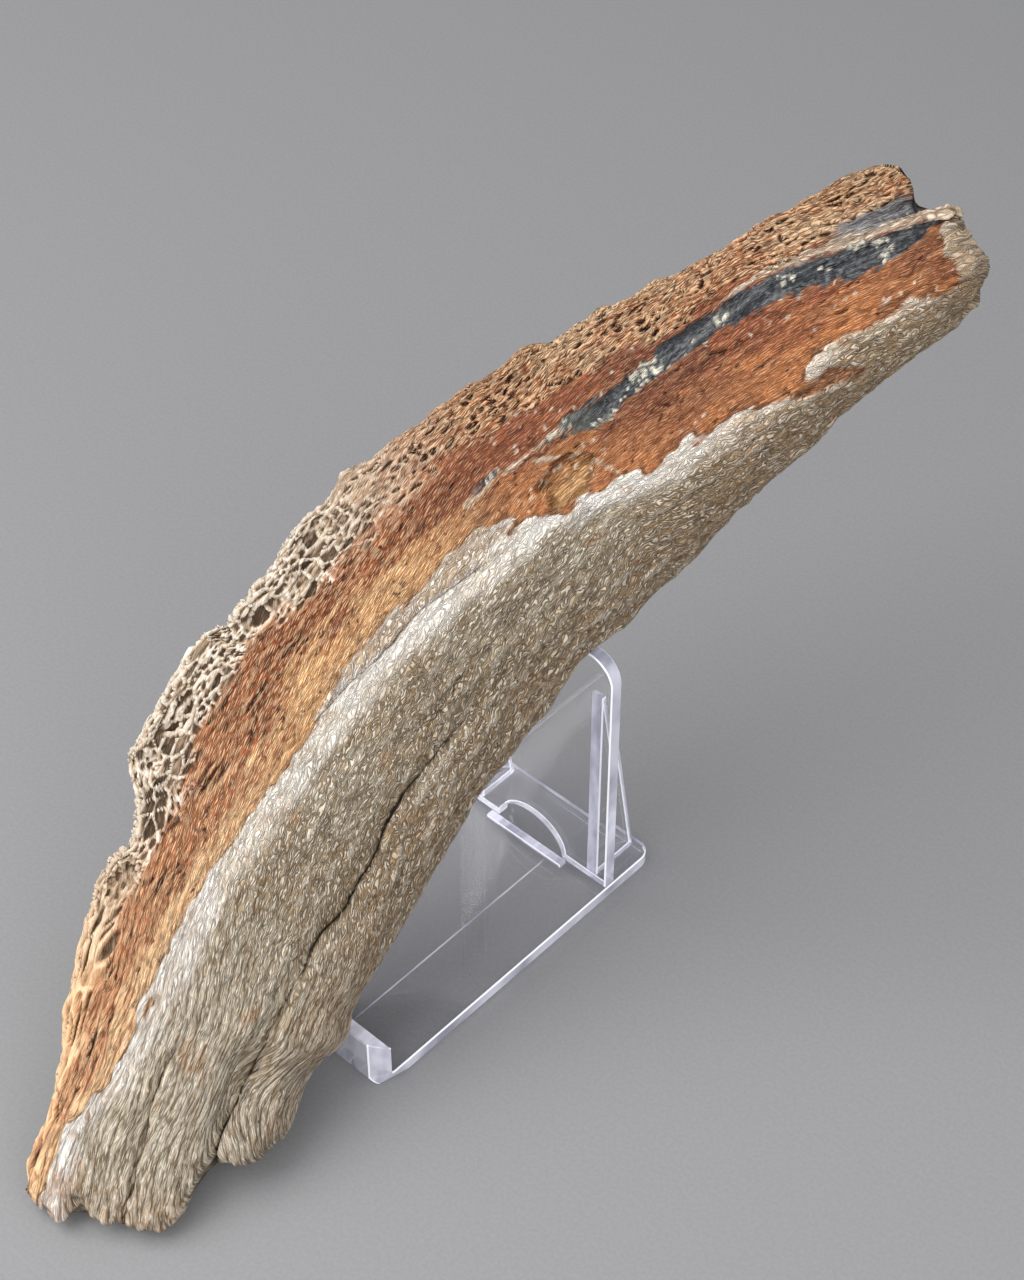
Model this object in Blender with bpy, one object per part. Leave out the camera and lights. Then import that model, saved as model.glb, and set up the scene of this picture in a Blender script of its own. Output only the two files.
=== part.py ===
"""Fossil mammoth leg bone: a long curved piece of shaft wall, leaning on a small clear stand.

Dimensions are in millimetres and the scene is in metres, +Z up. The stand's front lip faces -Y.
The bone is one surface: heights above and below a curved centre line, given by stations along it.
"""
import math

import bmesh
import bpy
import numpy as np
from mathutils import Matrix, Vector

MM = 0.001

# ---- stand ----------------------------------------------------------------
SHEET = 4.0            # thickness of the clear sheet
BASE_WIDTH = 57.3      # along X
BASE_LENGTH = 109.0    # along Y, from the front of the lip to the back edge
BASE_CORNER = 5.0      # rounding of the base's four corners, the lip's ends with them
LIP_HEIGHT = 14.8      # top of the bent-up front lip
LIP_BEND = 0.9         # outer radius of the tight bend under the lip
LIP_FILLET = 0.5       # radius inside the bend
UPRIGHT_WIDTH = 56.5   # along X
UPRIGHT_FRONT = 88.7   # Y of the upright's front face
UPRIGHT_TOP = 91.5     # height of the upright's top edge
UPRIGHT_CORNER = 8.0   # rounding of its two top corners
ARCH_HALF_WIDTH = 12.0  # half-round cut-out at the upright's foot
ARCH_HEIGHT = 10.2
SILL = (28.0, 2.7, 1.2)  # low bar on the base before the arch: width, depth, height
GUSSETS = (("gusset_left", -21.6), ("gusset_right", 21.6))  # X of each gusset's middle
GUSSET_TOP = 75.5
GUSSET_FOOT = 13.2     # how far a gusset reaches back along the base
GUSSET_HEAD = 1.5      # its width at the top
JOIN_GAP = 0.3         # cement gap between the pieces

# ---- bone: where it lies ---------------------------------------------------
BONE_MIDDLE = (-12.92, 59.57, 102.34)  # middle of its centre line, from the middle of the lip's foot
BONE_SLOPE = 40.0      # degrees, rise of the centre line toward +Y
BONE_ROLL = 20.0       # degrees, the broken inner face turned toward +X
BONE_TURN = 9.4        # degrees, turn within its own plane
SIDE_BEND = 315.0      # radius of the centre line's bend within that plane
UP_BEND = 720.0        # radius of its bend out of that plane
HALF_LENGTH = 175.0    # distance from the lower end to the middle of the centre line

# ---- bone: shape, by distance along from the lower end ----------------------
LEFT_EDGE = ((0, -24), (12, -27.5), (25, -26), (45, -28.9), (60, -32.6), (75, -34.2), (85, -34.8),
             (90, -33.2), (100, -36), (110, -43.6), (135, -43.6), (155, -39.9), (185, -40.4), (205, -37.3),
             (222, -33.8), (245, -30.6), (270, -26.2), (300, -25.2), (330, -26.4), (350, -22))
RIGHT_EDGE = ((0, 30), (30, 31.5), (40, 33.2), (55, 34.2), (66, 38.4), (76, 37.2), (90, 38.5), (120, 39.1),
              (145, 38.4), (180, 38.1), (200, 36.0), (214, 37.1), (235, 36.4), (260, 32.8), (285, 28.7),
              (310, 23.6), (330, 19), (350, 11))
CREST = ((0, -17), (26, -14), (42, -6), (60, -3), (92, -2), (128, 2), (167, 4), (193, 7), (222, 10),
         (246, 17), (267, 18), (290, 16), (309, 11), (336, 8), (350, 7))
CREST_HEIGHT = ((0, 2), (8, 4), (26, 8), (55, 10.5), (100, 11.5), (170, 11.5), (230, 10.5), (290, 8.5),
                (350, 7))
TROUGH_HEIGHT = ((0, 0), (30, 3), (60, 2), (120, 0), (180, 1), (240, 4), (300, 4), (350, 3))
RIM_HEIGHT = ((0, -1), (30, 0), (70, 1), (120, 2.5), (180, 2), (240, 1), (300, -1), (350, -2))
RIGHT_HEIGHT = ((0, 0), (25, -4), (65, -7), (200, -7.5), (300, -6.5), (350, -5.5))
KEEL = ((0, -3.5), (6, -5.6), (12, -9), (20, -13.6), (40, -22), (56, -28.5), (70, -31.3), (105, -31),
        (150, -28), (196, -23.9), (250, -21), (300, -18), (350, -15))
RIGHT_UNDER = ((0, -3), (6, -5.2), (14, -9.5), (30, -17), (50, -22), (68, -24), (105, -22), (150, -17.5),
               (200, -12.9), (250, -14), (350, -12))
LEFT_UNDER = ((0, -4.5), (12, -8), (30, -9), (60, -10), (110, -10), (200, -10), (350, -11))
KEEL_LINE = ((0, 0), (50, 10), (70, 14), (130, 8), (196, 6), (350, 0))
# Where the bone starts and stops, by fraction of the way from the left edge to the right edge.
LOWER_END = ((0, 8), (0.09, 4.5), (0.22, 5), (0.285, 8.6), (0.33, 7.3), (0.4, 5.8), (0.48, 5.2),
             (0.61, 5.2), (0.69, 8.5), (0.735, 16), (0.765, 26.5), (0.85, 25.5), (0.94, 27.5), (1, 34))
UPPER_END = ((0, 329), (0.08, 335), (0.2, 335), (0.3, 334.5), (0.37, 335), (0.4, 338),
             (0.43, 341.5), (0.47, 343), (0.6, 343), (0.8, 345), (0.92, 345), (1, 341))
EDGE_ROUND = (5.0, 6.0)     # rounding of the left and right edges
END_ROUND = (5.0, 4.5)      # rounding of the lower and upper ends
# The long split that opens between the two lower prongs, and the shorter one beside it.
SPLIT = ((28, 18.5), (46, 21), (72, 23), (91, 24), (104, 26), (115, 26), (136, 24), (151, 25), (168, 25))
SPLIT_DEPTH = ((20, 9), (40, 7), (80, 5), (120, 4), (150, 2.5), (171, 0))
SMALL_SPLIT = ((5, 1.5), (29, 2), (39, 2), (54, 4))
SMALL_SPLIT_DEPTH = ((5, 3.5), (35, 2.5), (58, 0))
STEP_LINE = ((130, -6), (142, -4), (162, -1), (176, 0), (193, 3), (205, 6))   # groove beside the crest
STEP_DEPTH = ((128, 0), (140, 2), (188, 2.2), (207, 0))
# The dark mineral band, and how far each side of it reaches.
VEIN = ((228, -9), (243, -6), (259, -7.5), (283, -8), (302, -7), (318, -5), (337, -4.5))
VEIN_HALF_WIDTH = ((226, 0.8), (243, 1.8), (259, 2.5), (283, 2.3), (302, 4), (318, 3.8), (337, 1.2))
# The line behind which the back piece drops away near the upper end.
FORK_LINE = ((284, -12), (297, -11), (313, -9), (327, -8.3), (340, -7.8), (350, -7.5))
FORK_DEPTH = ((284, 0), (300, 2), (320, 4.5), (345, 7))
# Hollows broken out of the surface: along, across, half length, half width, depth.
HOLLOWS = ((229, 4, 10, 5.5, 3.2), (82, -28.5, 4.5, 2.8, 5), (196, 2, 5, 3, 1.5), (122, -36, 5, 3, 2.5),
           (139, -38, 6, 3, 2), (152, -33, 4, 3, 2), (108, -37, 4, 3, 2.5), (174, -35, 5, 3, 2),
           (344, 4, 4, 3, 2.5), (262, 5, 7, 4, 1.2), (58, 31, 5, 3, 2))
BONE_TRIANGLES = 8200


def smooth(table, x):
    """A curve through the table's points, with the slope at each set by its neighbours."""
    at = np.array([p[0] for p in table], float)
    value = np.array([p[1] for p in table], float)
    x = np.clip(x, at[0], at[-1])
    secant = np.diff(value) / np.diff(at)
    slope = np.concatenate([secant[:1], (secant[1:] + secant[:-1]) / 2, secant[-1:]])
    flat = np.concatenate([[False], secant[1:] * secant[:-1] <= 0, [False]])
    slope[flat] = 0
    i = np.clip(np.searchsorted(at, x, side="right") - 1, 0, len(at) - 2)
    step = at[i + 1] - at[i]
    t = (x - at[i]) / step
    return (value[i] * (1 + 2 * t) * (1 - t) ** 2 + slope[i] * step * t * (1 - t) ** 2
            + value[i + 1] * t * t * (3 - 2 * t) + slope[i + 1] * step * t * t * (t - 1))


def lumps(x, y, seed):
    """Smooth random bumps from -1 to 1, one per unit square."""
    table = np.random.default_rng(seed).uniform(-1, 1, (64, 64))
    i, j = np.floor(x).astype(int), np.floor(y).astype(int)
    a, b = x - i, y - j
    a, b = a * a * (3 - 2 * a), b * b * (3 - 2 * b)
    near = table[i % 64, j % 64] * (1 - b) + table[i % 64, (j + 1) % 64] * b
    far = table[(i + 1) % 64, j % 64] * (1 - b) + table[(i + 1) % 64, (j + 1) % 64] * b
    return near * (1 - a) + far * a


def spaced(part, length, start, stop):
    """Distances from 0 to length, spaced evenly round a quarter circle at each end."""
    a, b = start * math.pi / 2, stop * math.pi / 2
    total = length - start - stop + a + b
    w = part * total
    first = start * (1 - np.cos(np.minimum(w, a) / start))
    last = length - stop * (1 - np.cos(np.minimum(total - w, b) / stop))
    return np.where(w < a, first, np.where(w > total - b, last, start + w - a))


def rounded(distance, radius):
    return np.sqrt(1 - (1 - np.clip(distance / radius, 0, 1)) ** 2)


def groove(across, line, half_width):
    return np.exp(-(((across - line) / half_width) ** 2))


def bone_side(along, across, part, upper):
    """Height of the upper or lower skin at a distance along the bone and across it."""
    left, right = smooth(LEFT_EDGE, along), smooth(RIGHT_EDGE, along)
    if not upper:
        keel = smooth(KEEL_LINE, along)
        low = smooth(KEEL, along)
        near = np.clip((across - left) / (keel - left), 0, 1)
        far = np.clip((across - keel) / (right - keel), 0, 1)
        under_left, under_right = smooth(LEFT_UNDER, along), smooth(RIGHT_UNDER, along)
        height = np.where(across < keel,
                          under_left + (low - under_left) * np.sin(near * math.pi / 2) ** 1.2,
                          low + (under_right - low) * far ** 1.15)
        calm = np.clip(np.minimum(np.abs(along - 69), np.abs(along - 197)) / 14, 0.05, 1)
        return height + calm * np.clip((along - 8) / 25, 0, 1) * (
            1.1 * lumps(along / 17, across / 10, 3) + 0.6 * lumps(along / 7, across / 5, 4))
    crest, top = smooth(CREST, along), smooth(CREST_HEIGHT, along)
    trough, rim = smooth(TROUGH_HEIGHT, along), smooth(RIM_HEIGHT, along)
    side = np.clip((across - left) / (crest - left), 0, 1)
    inner = rim + (trough - rim) * np.sin(np.clip(side / 0.55, 0, 1) * math.pi / 2) ** 2
    inner = np.where(side > 0.55, trough + (top - trough) * np.clip((side - 0.55) / 0.45, 0, 1) ** 1.7, inner)
    fall = np.clip((across - crest) / (right - crest), 0, 1)
    outer = top + (smooth(RIGHT_HEIGHT, along) - top) * (0.25 * fall + 0.75 * fall ** 2)
    height = np.where(across < crest, inner, outer) - 0.8 * groove(across, crest, 4)
    height -= smooth(SPLIT_DEPTH, along) * groove(across, smooth(SPLIT, along), 1.7) * (along > 15)
    height -= smooth(SMALL_SPLIT_DEPTH, along) * groove(across, smooth(SMALL_SPLIT, along), 1.6)
    height -= smooth(STEP_DEPTH, along) * groove(across, smooth(STEP_LINE, along), 1.8)
    vein = smooth(VEIN_HALF_WIDTH, along) * (along > 226)
    height -= 1.2 * groove(across, smooth(VEIN, along), np.maximum(vein, 0.5)) * (vein > 0)
    fork = smooth(FORK_LINE, along)
    height -= smooth(FORK_DEPTH, along) / (1 + np.exp(np.clip((across - fork) / 0.7, -30, 30)))
    height += 0.8 * np.clip(smooth(FORK_DEPTH, along) / 3, 0, 1) * groove(across, fork + 1.5, 1.2)
    for at, over, half_length, half_width, depth in HOLLOWS:
        far = ((along - at) / half_length) ** 2 + ((across - over) / half_width) ** 2
        height -= depth * np.exp(-far ** 2)
    spongy = np.clip(1 - (across - left - 12) / 8, 0, 1)
    height += spongy * 1.3 * lumps(along / 6.5, across / 4.2, 5) - spongy * 0.5
    height += 0.7 * lumps(along / 16, across / 5, 6) + 0.4 * lumps(along / 8, across / 3.5, 7)
    return height


def bone_grid(part_along, part_across, upper):
    """Points of one skin, for fractions of the way along and across."""
    over = spaced(part_across, 80.0, *EDGE_ROUND)
    part = over / 80.0
    start = smooth(LOWER_END, part) + 0.7 * lumps(part * 26, part * 0, 8)
    stop = smooth(UPPER_END, part) + 0.8 * lumps(part * 20, part * 0, 9)
    gone = spaced(part_along, stop - start, *END_ROUND)
    along = start + gone
    left = smooth(LEFT_EDGE, along) + 0.9 * lumps(along / 7, along * 0, 10) + 0.5 * lumps(along / 3.5, along * 0, 11)
    right = smooth(RIGHT_EDGE, along) + 0.5 * lumps(along / 9, along * 0, 12)
    across = left + part * (right - left)
    high, low = bone_side(along, across, part, True), bone_side(along, across, part, False)
    middle, half = (high + low) / 2, np.maximum((high - low) / 2, 1.5)
    half = half * rounded(over, EDGE_ROUND[0]) * rounded(80.0 - over, EDGE_ROUND[1])
    half = half * rounded(gone, END_ROUND[0]) * rounded(stop - start - gone, END_ROUND[1])
    height = middle + half if upper else middle - half
    return placed(along, across, height)


def placed(along, across, height):
    """From distances along, across and above the centre line to the stand's axes."""
    slope, roll, turn = (math.radians(a) for a in (BONE_SLOPE, BONE_ROLL, BONE_TURN))
    rise = Vector((0, math.cos(slope), math.sin(slope)))
    face = Vector((0, -math.sin(slope), math.cos(slope))) * math.cos(roll) + Vector((math.sin(roll), 0, 0))
    flank = rise.cross(face)
    length = rise * math.cos(turn) + flank * math.sin(turn)
    flank = length.cross(face)
    away = along - HALF_LENGTH
    angle = away / SIDE_BEND
    forward = (SIDE_BEND - across) * np.sin(angle)
    sideways = SIDE_BEND - (SIDE_BEND - across) * np.cos(angle)
    out = height + away ** 2 / (2 * UP_BEND)
    return (np.array(BONE_MIDDLE) + forward[..., None] * np.array(length)
            + sideways[..., None] * np.array(flank) + out[..., None] * np.array(face))


def material(name, colour, roughness, clear=False):
    made = bpy.data.materials.new(name)
    made.use_nodes = True
    shader = made.node_tree.nodes["Principled BSDF"]
    shader.inputs["Base Color"].default_value = (*colour, 1)
    shader.inputs["Roughness"].default_value = roughness
    if clear:
        shader.inputs["Transmission Weight"].default_value = 1
        shader.inputs["IOR"].default_value = 1.49
    made.diffuse_color = (*colour, 0.4 if clear else 1)
    return made


def object_from(name, shape, surface, smooth_shaded=False):
    bmesh.ops.recalc_face_normals(shape, faces=shape.faces)
    mesh = bpy.data.meshes.new(name)
    shape.to_mesh(mesh)
    shape.free()
    mesh.materials.append(surface)
    for face in mesh.polygons:
        face.use_smooth = smooth_shaded
    made = bpy.data.objects.new(name, mesh)
    bpy.context.scene.collection.objects.link(made)
    return made


def bone(surface):
    """Both skins on one grid, joined round the rim, then thinned where the surface is plain."""
    rows, columns = 190, 56
    part_along, part_across = np.meshgrid(np.linspace(0, 1, rows), np.linspace(0, 1, columns), indexing="ij")
    skins = [bone_grid(part_along, part_across, upper) * MM for upper in (True, False)]
    shape = bmesh.new()
    upper = [[shape.verts.new(p) for p in row] for row in skins[0]]
    lower = [list(row) for row in upper]
    for i in range(1, rows - 1):
        for j in range(1, columns - 1):
            lower[i][j] = shape.verts.new(skins[1][i][j])
    for grid in (upper, lower):
        for i in range(rows - 1):
            for j in range(columns - 1):
                corners = (grid[i][j], grid[i][j + 1], grid[i + 1][j + 1], grid[i + 1][j])
                shape.faces.new(corners)
    bmesh.ops.triangulate(shape, faces=shape.faces)
    made = object_from("bone", shape, surface, True)
    thin = made.modifiers.new("thin", "DECIMATE")
    thin.ratio = BONE_TRIANGLES / len(made.data.polygons)
    return made


def plate(outline, thickness, to_place):
    """A flat sheet with this outline, extruded by its thickness and moved into place."""
    shape = bmesh.new()
    face = shape.faces.new([shape.verts.new((x, y, 0)) for x, y in outline])
    sides = bmesh.ops.extrude_face_region(shape, geom=[face])
    moved = [v for v in sides["geom"] if isinstance(v, bmesh.types.BMVert)]
    bmesh.ops.translate(shape, verts=moved, vec=(0, 0, thickness))
    bmesh.ops.transform(shape, matrix=Matrix.Scale(MM, 4) @ to_place, verts=shape.verts)
    return shape


def arc(x, y, radius, start, stop, steps):
    """Points on an arc round (x, y), from one angle in degrees to another."""
    angles = [math.radians(start + (stop - start) * k / steps) for k in range(steps + 1)]
    return [(x + radius * math.cos(a), y + radius * math.sin(a)) for a in angles]


def stand_base(surface):
    """One sheet bent up at the front: its side profile drawn across, then its corners rounded in plan."""
    profile = [(BASE_LENGTH, 0)]
    profile += arc(LIP_BEND, LIP_BEND, LIP_BEND, 270, 180, 6)
    profile += [(0, LIP_HEIGHT), (SHEET, LIP_HEIGHT)]
    profile += arc(SHEET + LIP_FILLET, SHEET + LIP_FILLET, LIP_FILLET, 180, 270, 4)
    profile += [(BASE_LENGTH, SHEET)]
    across = Matrix(((0, 0, 1, -BASE_WIDTH / 2), (1, 0, 0, 0), (0, 1, 0, 0), (0, 0, 0, 1)))
    made = object_from("stand_base", plate(profile, BASE_WIDTH, across), surface)
    half, corner = BASE_WIDTH / 2, BASE_CORNER
    plan = []
    for x, y, start in ((half - corner, BASE_LENGTH - corner, 0), (corner - half, BASE_LENGTH - corner, 90),
                        (corner - half, corner, 180), (half - corner, corner, 270)):
        plan += arc(x, y, corner, start, start + 90, 6)
    side, low, top = SILL[0] / 2, SHEET - 1.0, SHEET + SILL[2]
    bar = [(-side, low), (side, low), (side, top), (-side, top)]
    stood = Matrix(((1, 0, 0, 0), (0, 0, 1, UPRIGHT_FRONT - JOIN_GAP - SILL[1]), (0, 1, 0, 0), (0, 0, 0, 1)))
    sill = object_from("sill", plate(bar, SILL[1], stood), surface)
    cutter = object_from("base_outline", plate(plan, 60, Matrix.Translation((0, 0, -20))), surface)
    for helper in (sill, cutter):
        helper.hide_render = True
        helper.display_type = "WIRE"
    add = made.modifiers.new("add_sill", "BOOLEAN")
    add.operation = "UNION"
    add.solver = "EXACT"
    add.object = sill
    trim = made.modifiers.new("round_corners", "BOOLEAN")
    trim.operation = "INTERSECT"
    trim.solver = "EXACT"
    trim.object = cutter
    return made, cutter, sill


def stand_upright(surface):
    """The leaning plate: rounded top corners and a half-round arch at its foot."""
    half, corner, foot = UPRIGHT_WIDTH / 2, UPRIGHT_CORNER, SHEET + JOIN_GAP
    outline = [(-half, foot)]
    outline += [(x * ARCH_HALF_WIDTH, foot + z * ARCH_HEIGHT) for x, z in arc(0, 0, 1, 180, 0, 14)]
    outline += [(half, foot)]
    outline += arc(half - corner, UPRIGHT_TOP - corner, corner, 0, 90, 7)
    outline += arc(corner - half, UPRIGHT_TOP - corner, corner, 90, 180, 7)
    stood = Matrix(((1, 0, 0, 0), (0, 0, 1, UPRIGHT_FRONT), (0, 1, 0, 0), (0, 0, 0, 1)))
    return object_from("stand_upright", plate(outline, SHEET, stood), surface)


def gusset(name, at, surface):
    """A slim triangle standing behind the upright, square to it."""
    back, foot = UPRIGHT_FRONT + SHEET + JOIN_GAP, SHEET + JOIN_GAP
    outline = [(back, foot), (back + GUSSET_FOOT, foot), (back + GUSSET_HEAD, GUSSET_TOP), (back, GUSSET_TOP)]
    stood = Matrix(((0, 0, 1, at - SHEET / 2), (1, 0, 0, 0), (0, 1, 0, 0), (0, 0, 0, 1)))
    return object_from(name, plate(outline, SHEET, stood), surface)


def centre_on_floor(objects):
    """Moves everything so that the box round it stands on the floor, centred on the origin."""
    bpy.context.view_layer.update()
    graph = bpy.context.evaluated_depsgraph_get()
    points = []
    for made in objects:
        if made.hide_render:
            continue
        mesh = made.evaluated_get(graph).to_mesh()
        points += [v.co.copy() for v in mesh.vertices]
        made.evaluated_get(graph).to_mesh_clear()
    low = [min(p[k] for p in points) for k in range(3)]
    high = [max(p[k] for p in points) for k in range(3)]
    shift = Vector((-(low[0] + high[0]) / 2, -(low[1] + high[1]) / 2, -low[2]))
    for made in objects:
        made.data.transform(Matrix.Translation(shift))
    print("moved by", [round(c / MM, 3) for c in shift], "mm")


for old in list(bpy.data.objects):
    bpy.data.objects.remove(old)
fossil = material("fossil_bone", (0.36, 0.27, 0.18), 0.85)
clear = material("clear_sheet", (0.95, 0.95, 0.98), 0.03, True)
pieces = [bone(fossil), stand_upright(clear), *stand_base(clear)]
pieces += [gusset(name, at, clear) for name, at in GUSSETS]
centre_on_floor(pieces)
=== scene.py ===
# %% [markdown]
# # A fossil leg bone on its clear stand
# The object is one long splinter of a very large leg bone, turned to stone, that leans on a small stand of
# clear sheet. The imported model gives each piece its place, and this script gives each piece its finished
# surface.

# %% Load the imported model
import math

import bpy
import bmesh
import numpy as np
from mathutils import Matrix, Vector


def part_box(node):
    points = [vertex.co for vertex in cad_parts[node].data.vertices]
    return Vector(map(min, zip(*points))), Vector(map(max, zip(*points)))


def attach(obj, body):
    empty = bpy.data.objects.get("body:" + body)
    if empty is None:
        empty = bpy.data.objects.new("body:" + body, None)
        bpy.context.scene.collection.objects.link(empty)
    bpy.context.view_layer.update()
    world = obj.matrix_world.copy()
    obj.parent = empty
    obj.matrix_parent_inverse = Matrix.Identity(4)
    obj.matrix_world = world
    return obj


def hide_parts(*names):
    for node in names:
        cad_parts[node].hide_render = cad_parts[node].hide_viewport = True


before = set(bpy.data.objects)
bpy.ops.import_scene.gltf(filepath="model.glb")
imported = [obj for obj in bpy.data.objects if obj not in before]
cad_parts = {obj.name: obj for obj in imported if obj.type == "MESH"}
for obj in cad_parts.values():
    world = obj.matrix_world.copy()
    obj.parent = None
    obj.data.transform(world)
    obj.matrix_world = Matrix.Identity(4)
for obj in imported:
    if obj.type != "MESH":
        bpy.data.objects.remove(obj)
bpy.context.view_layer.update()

MM = 0.001
base_low, base_high = (np.array(corner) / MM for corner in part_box("stand_base"))
# The middle of the front lip's foot: the bone and the camera are placed from it.
LIP_FOOT = np.array(((base_low[0] + base_high[0]) / 2, base_low[1], 0.0))
print("lip's foot at", LIP_FOOT.round(2), "mm")

# %% [markdown]
# ## Camera and light
# A long lens from less than a metre away keeps the near end from looming. The camera stands at the front
# right and looks down at 45 degrees. Small hard lamps could light the bone, but their shadows would hide its
# grain. One very large soft light high on the left is used instead, so the crest catches it, and two weak
# ones keep the front and the right flank readable.


# %% Camera
CAMERA_AZIMUTH, CAMERA_ELEVATION = 42.59, 45.06    # degrees
CAMERA_DISTANCE = 828.3                            # mm from the point it looks at
LOOK_AT = (-59.82, 146.31, 0)                      # that point, in mm from the lip's foot
LENS, SENSOR = 75.94, 36                           # mm


def look_from(azimuth, elevation, distance, target):
    """A camera this far from the target. Azimuth 0 looks along +Y, and elevation is how far it looks
    down."""
    turn, tip = math.radians(azimuth), math.radians(elevation)
    forward = np.array((-math.sin(turn) * math.cos(tip), math.cos(turn) * math.cos(tip), -math.sin(tip)))
    data = bpy.data.cameras.new("camera")
    data.lens = LENS
    data.sensor_width = SENSOR
    data.clip_start, data.clip_end = 0.01, 20
    camera = bpy.data.objects.new("camera", data)
    camera.location = (target - forward * distance) * MM
    camera.rotation_euler = (math.pi / 2 - tip, 0, turn)
    bpy.context.scene.collection.objects.link(camera)
    bpy.context.scene.camera = camera
    return camera


camera = look_from(CAMERA_AZIMUTH, CAMERA_ELEVATION, CAMERA_DISTANCE, LIP_FOOT + np.array(LOOK_AT))
print("camera at", [round(c, 3) for c in camera.location])


# %% Lights
LIT_POINT = Vector((0, 0, 0.06))    # metres: every light faces it


def soft_light(name, azimuth, elevation, distance, size, power, colour):
    """A square area light that faces the middle of the object. Azimuth 0 stands on +X, and 90 on +Y."""
    data = bpy.data.lights.new(name, "AREA")
    data.size = size
    data.energy = power
    data.color = colour
    light = bpy.data.objects.new(name, data)
    turn, tip = math.radians(azimuth), math.radians(elevation)
    away = Vector((math.cos(turn) * math.cos(tip), math.sin(turn) * math.cos(tip), math.sin(tip)))
    light.location = LIT_POINT + away * distance
    light.rotation_euler = away.to_track_quat("Z", "Y").to_euler()
    bpy.context.scene.collection.objects.link(light)


soft_light("key", azimuth=226, elevation=54, distance=1.3, size=1.2, power=17.5, colour=(1.0, 0.985, 0.96))
soft_light("front_fill", azimuth=275, elevation=38, distance=1.0, size=0.8, power=2.6,
           colour=(0.98, 0.99, 1.0))
soft_light("right_fill", azimuth=338, elevation=34, distance=1.1, size=0.9, power=5.0,
           colour=(1.0, 0.985, 0.965))
world = bpy.data.worlds.new("studio")
world.use_nodes = True
sky = world.node_tree.nodes["Background"].inputs
sky["Color"].default_value = (0.95, 0.97, 1.0, 1)
sky["Strength"].default_value = 0.52
bpy.context.scene.world = world
# Colours come out as they are written, with no film-like curve over them.
bpy.context.scene.view_settings.view_transform = "Standard"
print("lights:", [light.name for light in bpy.data.lights])

# %% [markdown]
# ## A small language for finishes
# Blender builds a finish from boxes and wires. They can be placed by hand, box by box, but then a formula is
# lost among its boxes. So one class wraps a wire and lets ordinary arithmetic add the Math boxes, and a
# second class adds every other box with one method.


# %% Shader arithmetic
class Wire:
    """The output of a node. Arithmetic on it adds Math nodes to the same tree."""

    def __init__(self, finish, socket):
        self.finish = finish
        self.socket = socket

    def maths(self, operation, *values):
        return self.finish.node("ShaderNodeMath", {"operation": operation}, dict(enumerate(values)))

    def __add__(self, other):
        return self.maths("ADD", self, other)

    def __radd__(self, other):
        return self.maths("ADD", other, self)

    def __sub__(self, other):
        return self.maths("SUBTRACT", self, other)

    def __rsub__(self, other):
        return self.maths("SUBTRACT", other, self)

    def __mul__(self, other):
        return self.maths("MULTIPLY", self, other)

    def __rmul__(self, other):
        return self.maths("MULTIPLY", other, self)

    def __abs__(self):
        return self.maths("ABSOLUTE", self)

    def most(self, other):
        return self.maths("MAXIMUM", self, other)

    def between(self, low, high):
        """0 up to low, 1 from high, and a smooth step between. With low above high it falls from 1 to 0."""
        return self.finish.node("ShaderNodeMapRange", {"interpolation_type": "SMOOTHSTEP"},
                                {"Value": self, "From Min": low, "From Max": high})


# %% Finishes
class Finish:
    """One procedural material. Its method node() adds any node and gives back its first output, or the one
    named."""

    def __init__(self, name):
        self.material = bpy.data.materials.new(name)
        self.material.use_nodes = True
        self.tree = self.material.node_tree
        self.shader = self.tree.nodes["Principled BSDF"]

    def put(self, socket, value):
        """Links a wire to a socket, or sets the socket to a plain value."""
        if isinstance(value, Wire):
            self.tree.links.new(value.socket, socket)
        else:
            socket.default_value = value

    def node(self, kind, settings=(), values=(), output=0):
        made = self.tree.nodes.new(kind)
        for name, value in dict(settings).items():
            setattr(made, name, value)
        for name, value in dict(values).items():
            self.put(made.inputs[name], value)
        return Wire(self, made.outputs[output])

    def mix(self, amount, one, two):
        """Colour one where amount is 0, colour two where it is 1."""
        return self.node("ShaderNodeMix", {"data_type": "RGBA"}, {0: amount, 6: one, 7: two}, 2)

    def attribute(self, name, output="Fac"):
        """What the mesh holds under this name at each point."""
        return self.node("ShaderNodeAttribute", {"attribute_name": name}, output=output)

    def noise(self, at, scale, detail, rough=0.55, dimensions="3D", output=0):
        """Cloudy noise: this many lumps to a unit, with finer lumps on them as far as detail goes."""
        return self.node("ShaderNodeTexNoise", {"noise_dimensions": dimensions},
                         {"Vector": at, "Scale": scale, "Detail": detail, "Roughness": rough}, output)

    def vector(self, operation, *values):
        return self.node("ShaderNodeVectorMath", {"operation": operation}, dict(enumerate(values)))

    def axes(self, at, names="XYZ"):
        """The numbers along each axis of a vector."""
        return [self.node("ShaderNodeSeparateXYZ", {}, {0: at}, name) for name in names]

    def surface(self, **values):
        """Sets the shader's sockets, with _ for a space in their names."""
        for name, value in values.items():
            self.put(self.shader.inputs[name.replace("_", " ")], value)


def tone(*colour):
    """Red, green and blue as they look on a screen, 0 to 255, turned into the linear values light adds up
    in."""
    return tuple(((c / 255 + 0.055) / 1.055) ** 2.4 if c > 10 else c / 3295 for c in colour) + (1.0,)


print("pale grey:", [round(c, 2) for c in tone(208, 192, 166)])

# %% [markdown]
# ## The floor
# The stand is on plain grey paper. A picture of paper could be laid over it, but its grain is even, so a
# little fine noise between two near greys says the same.

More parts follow.
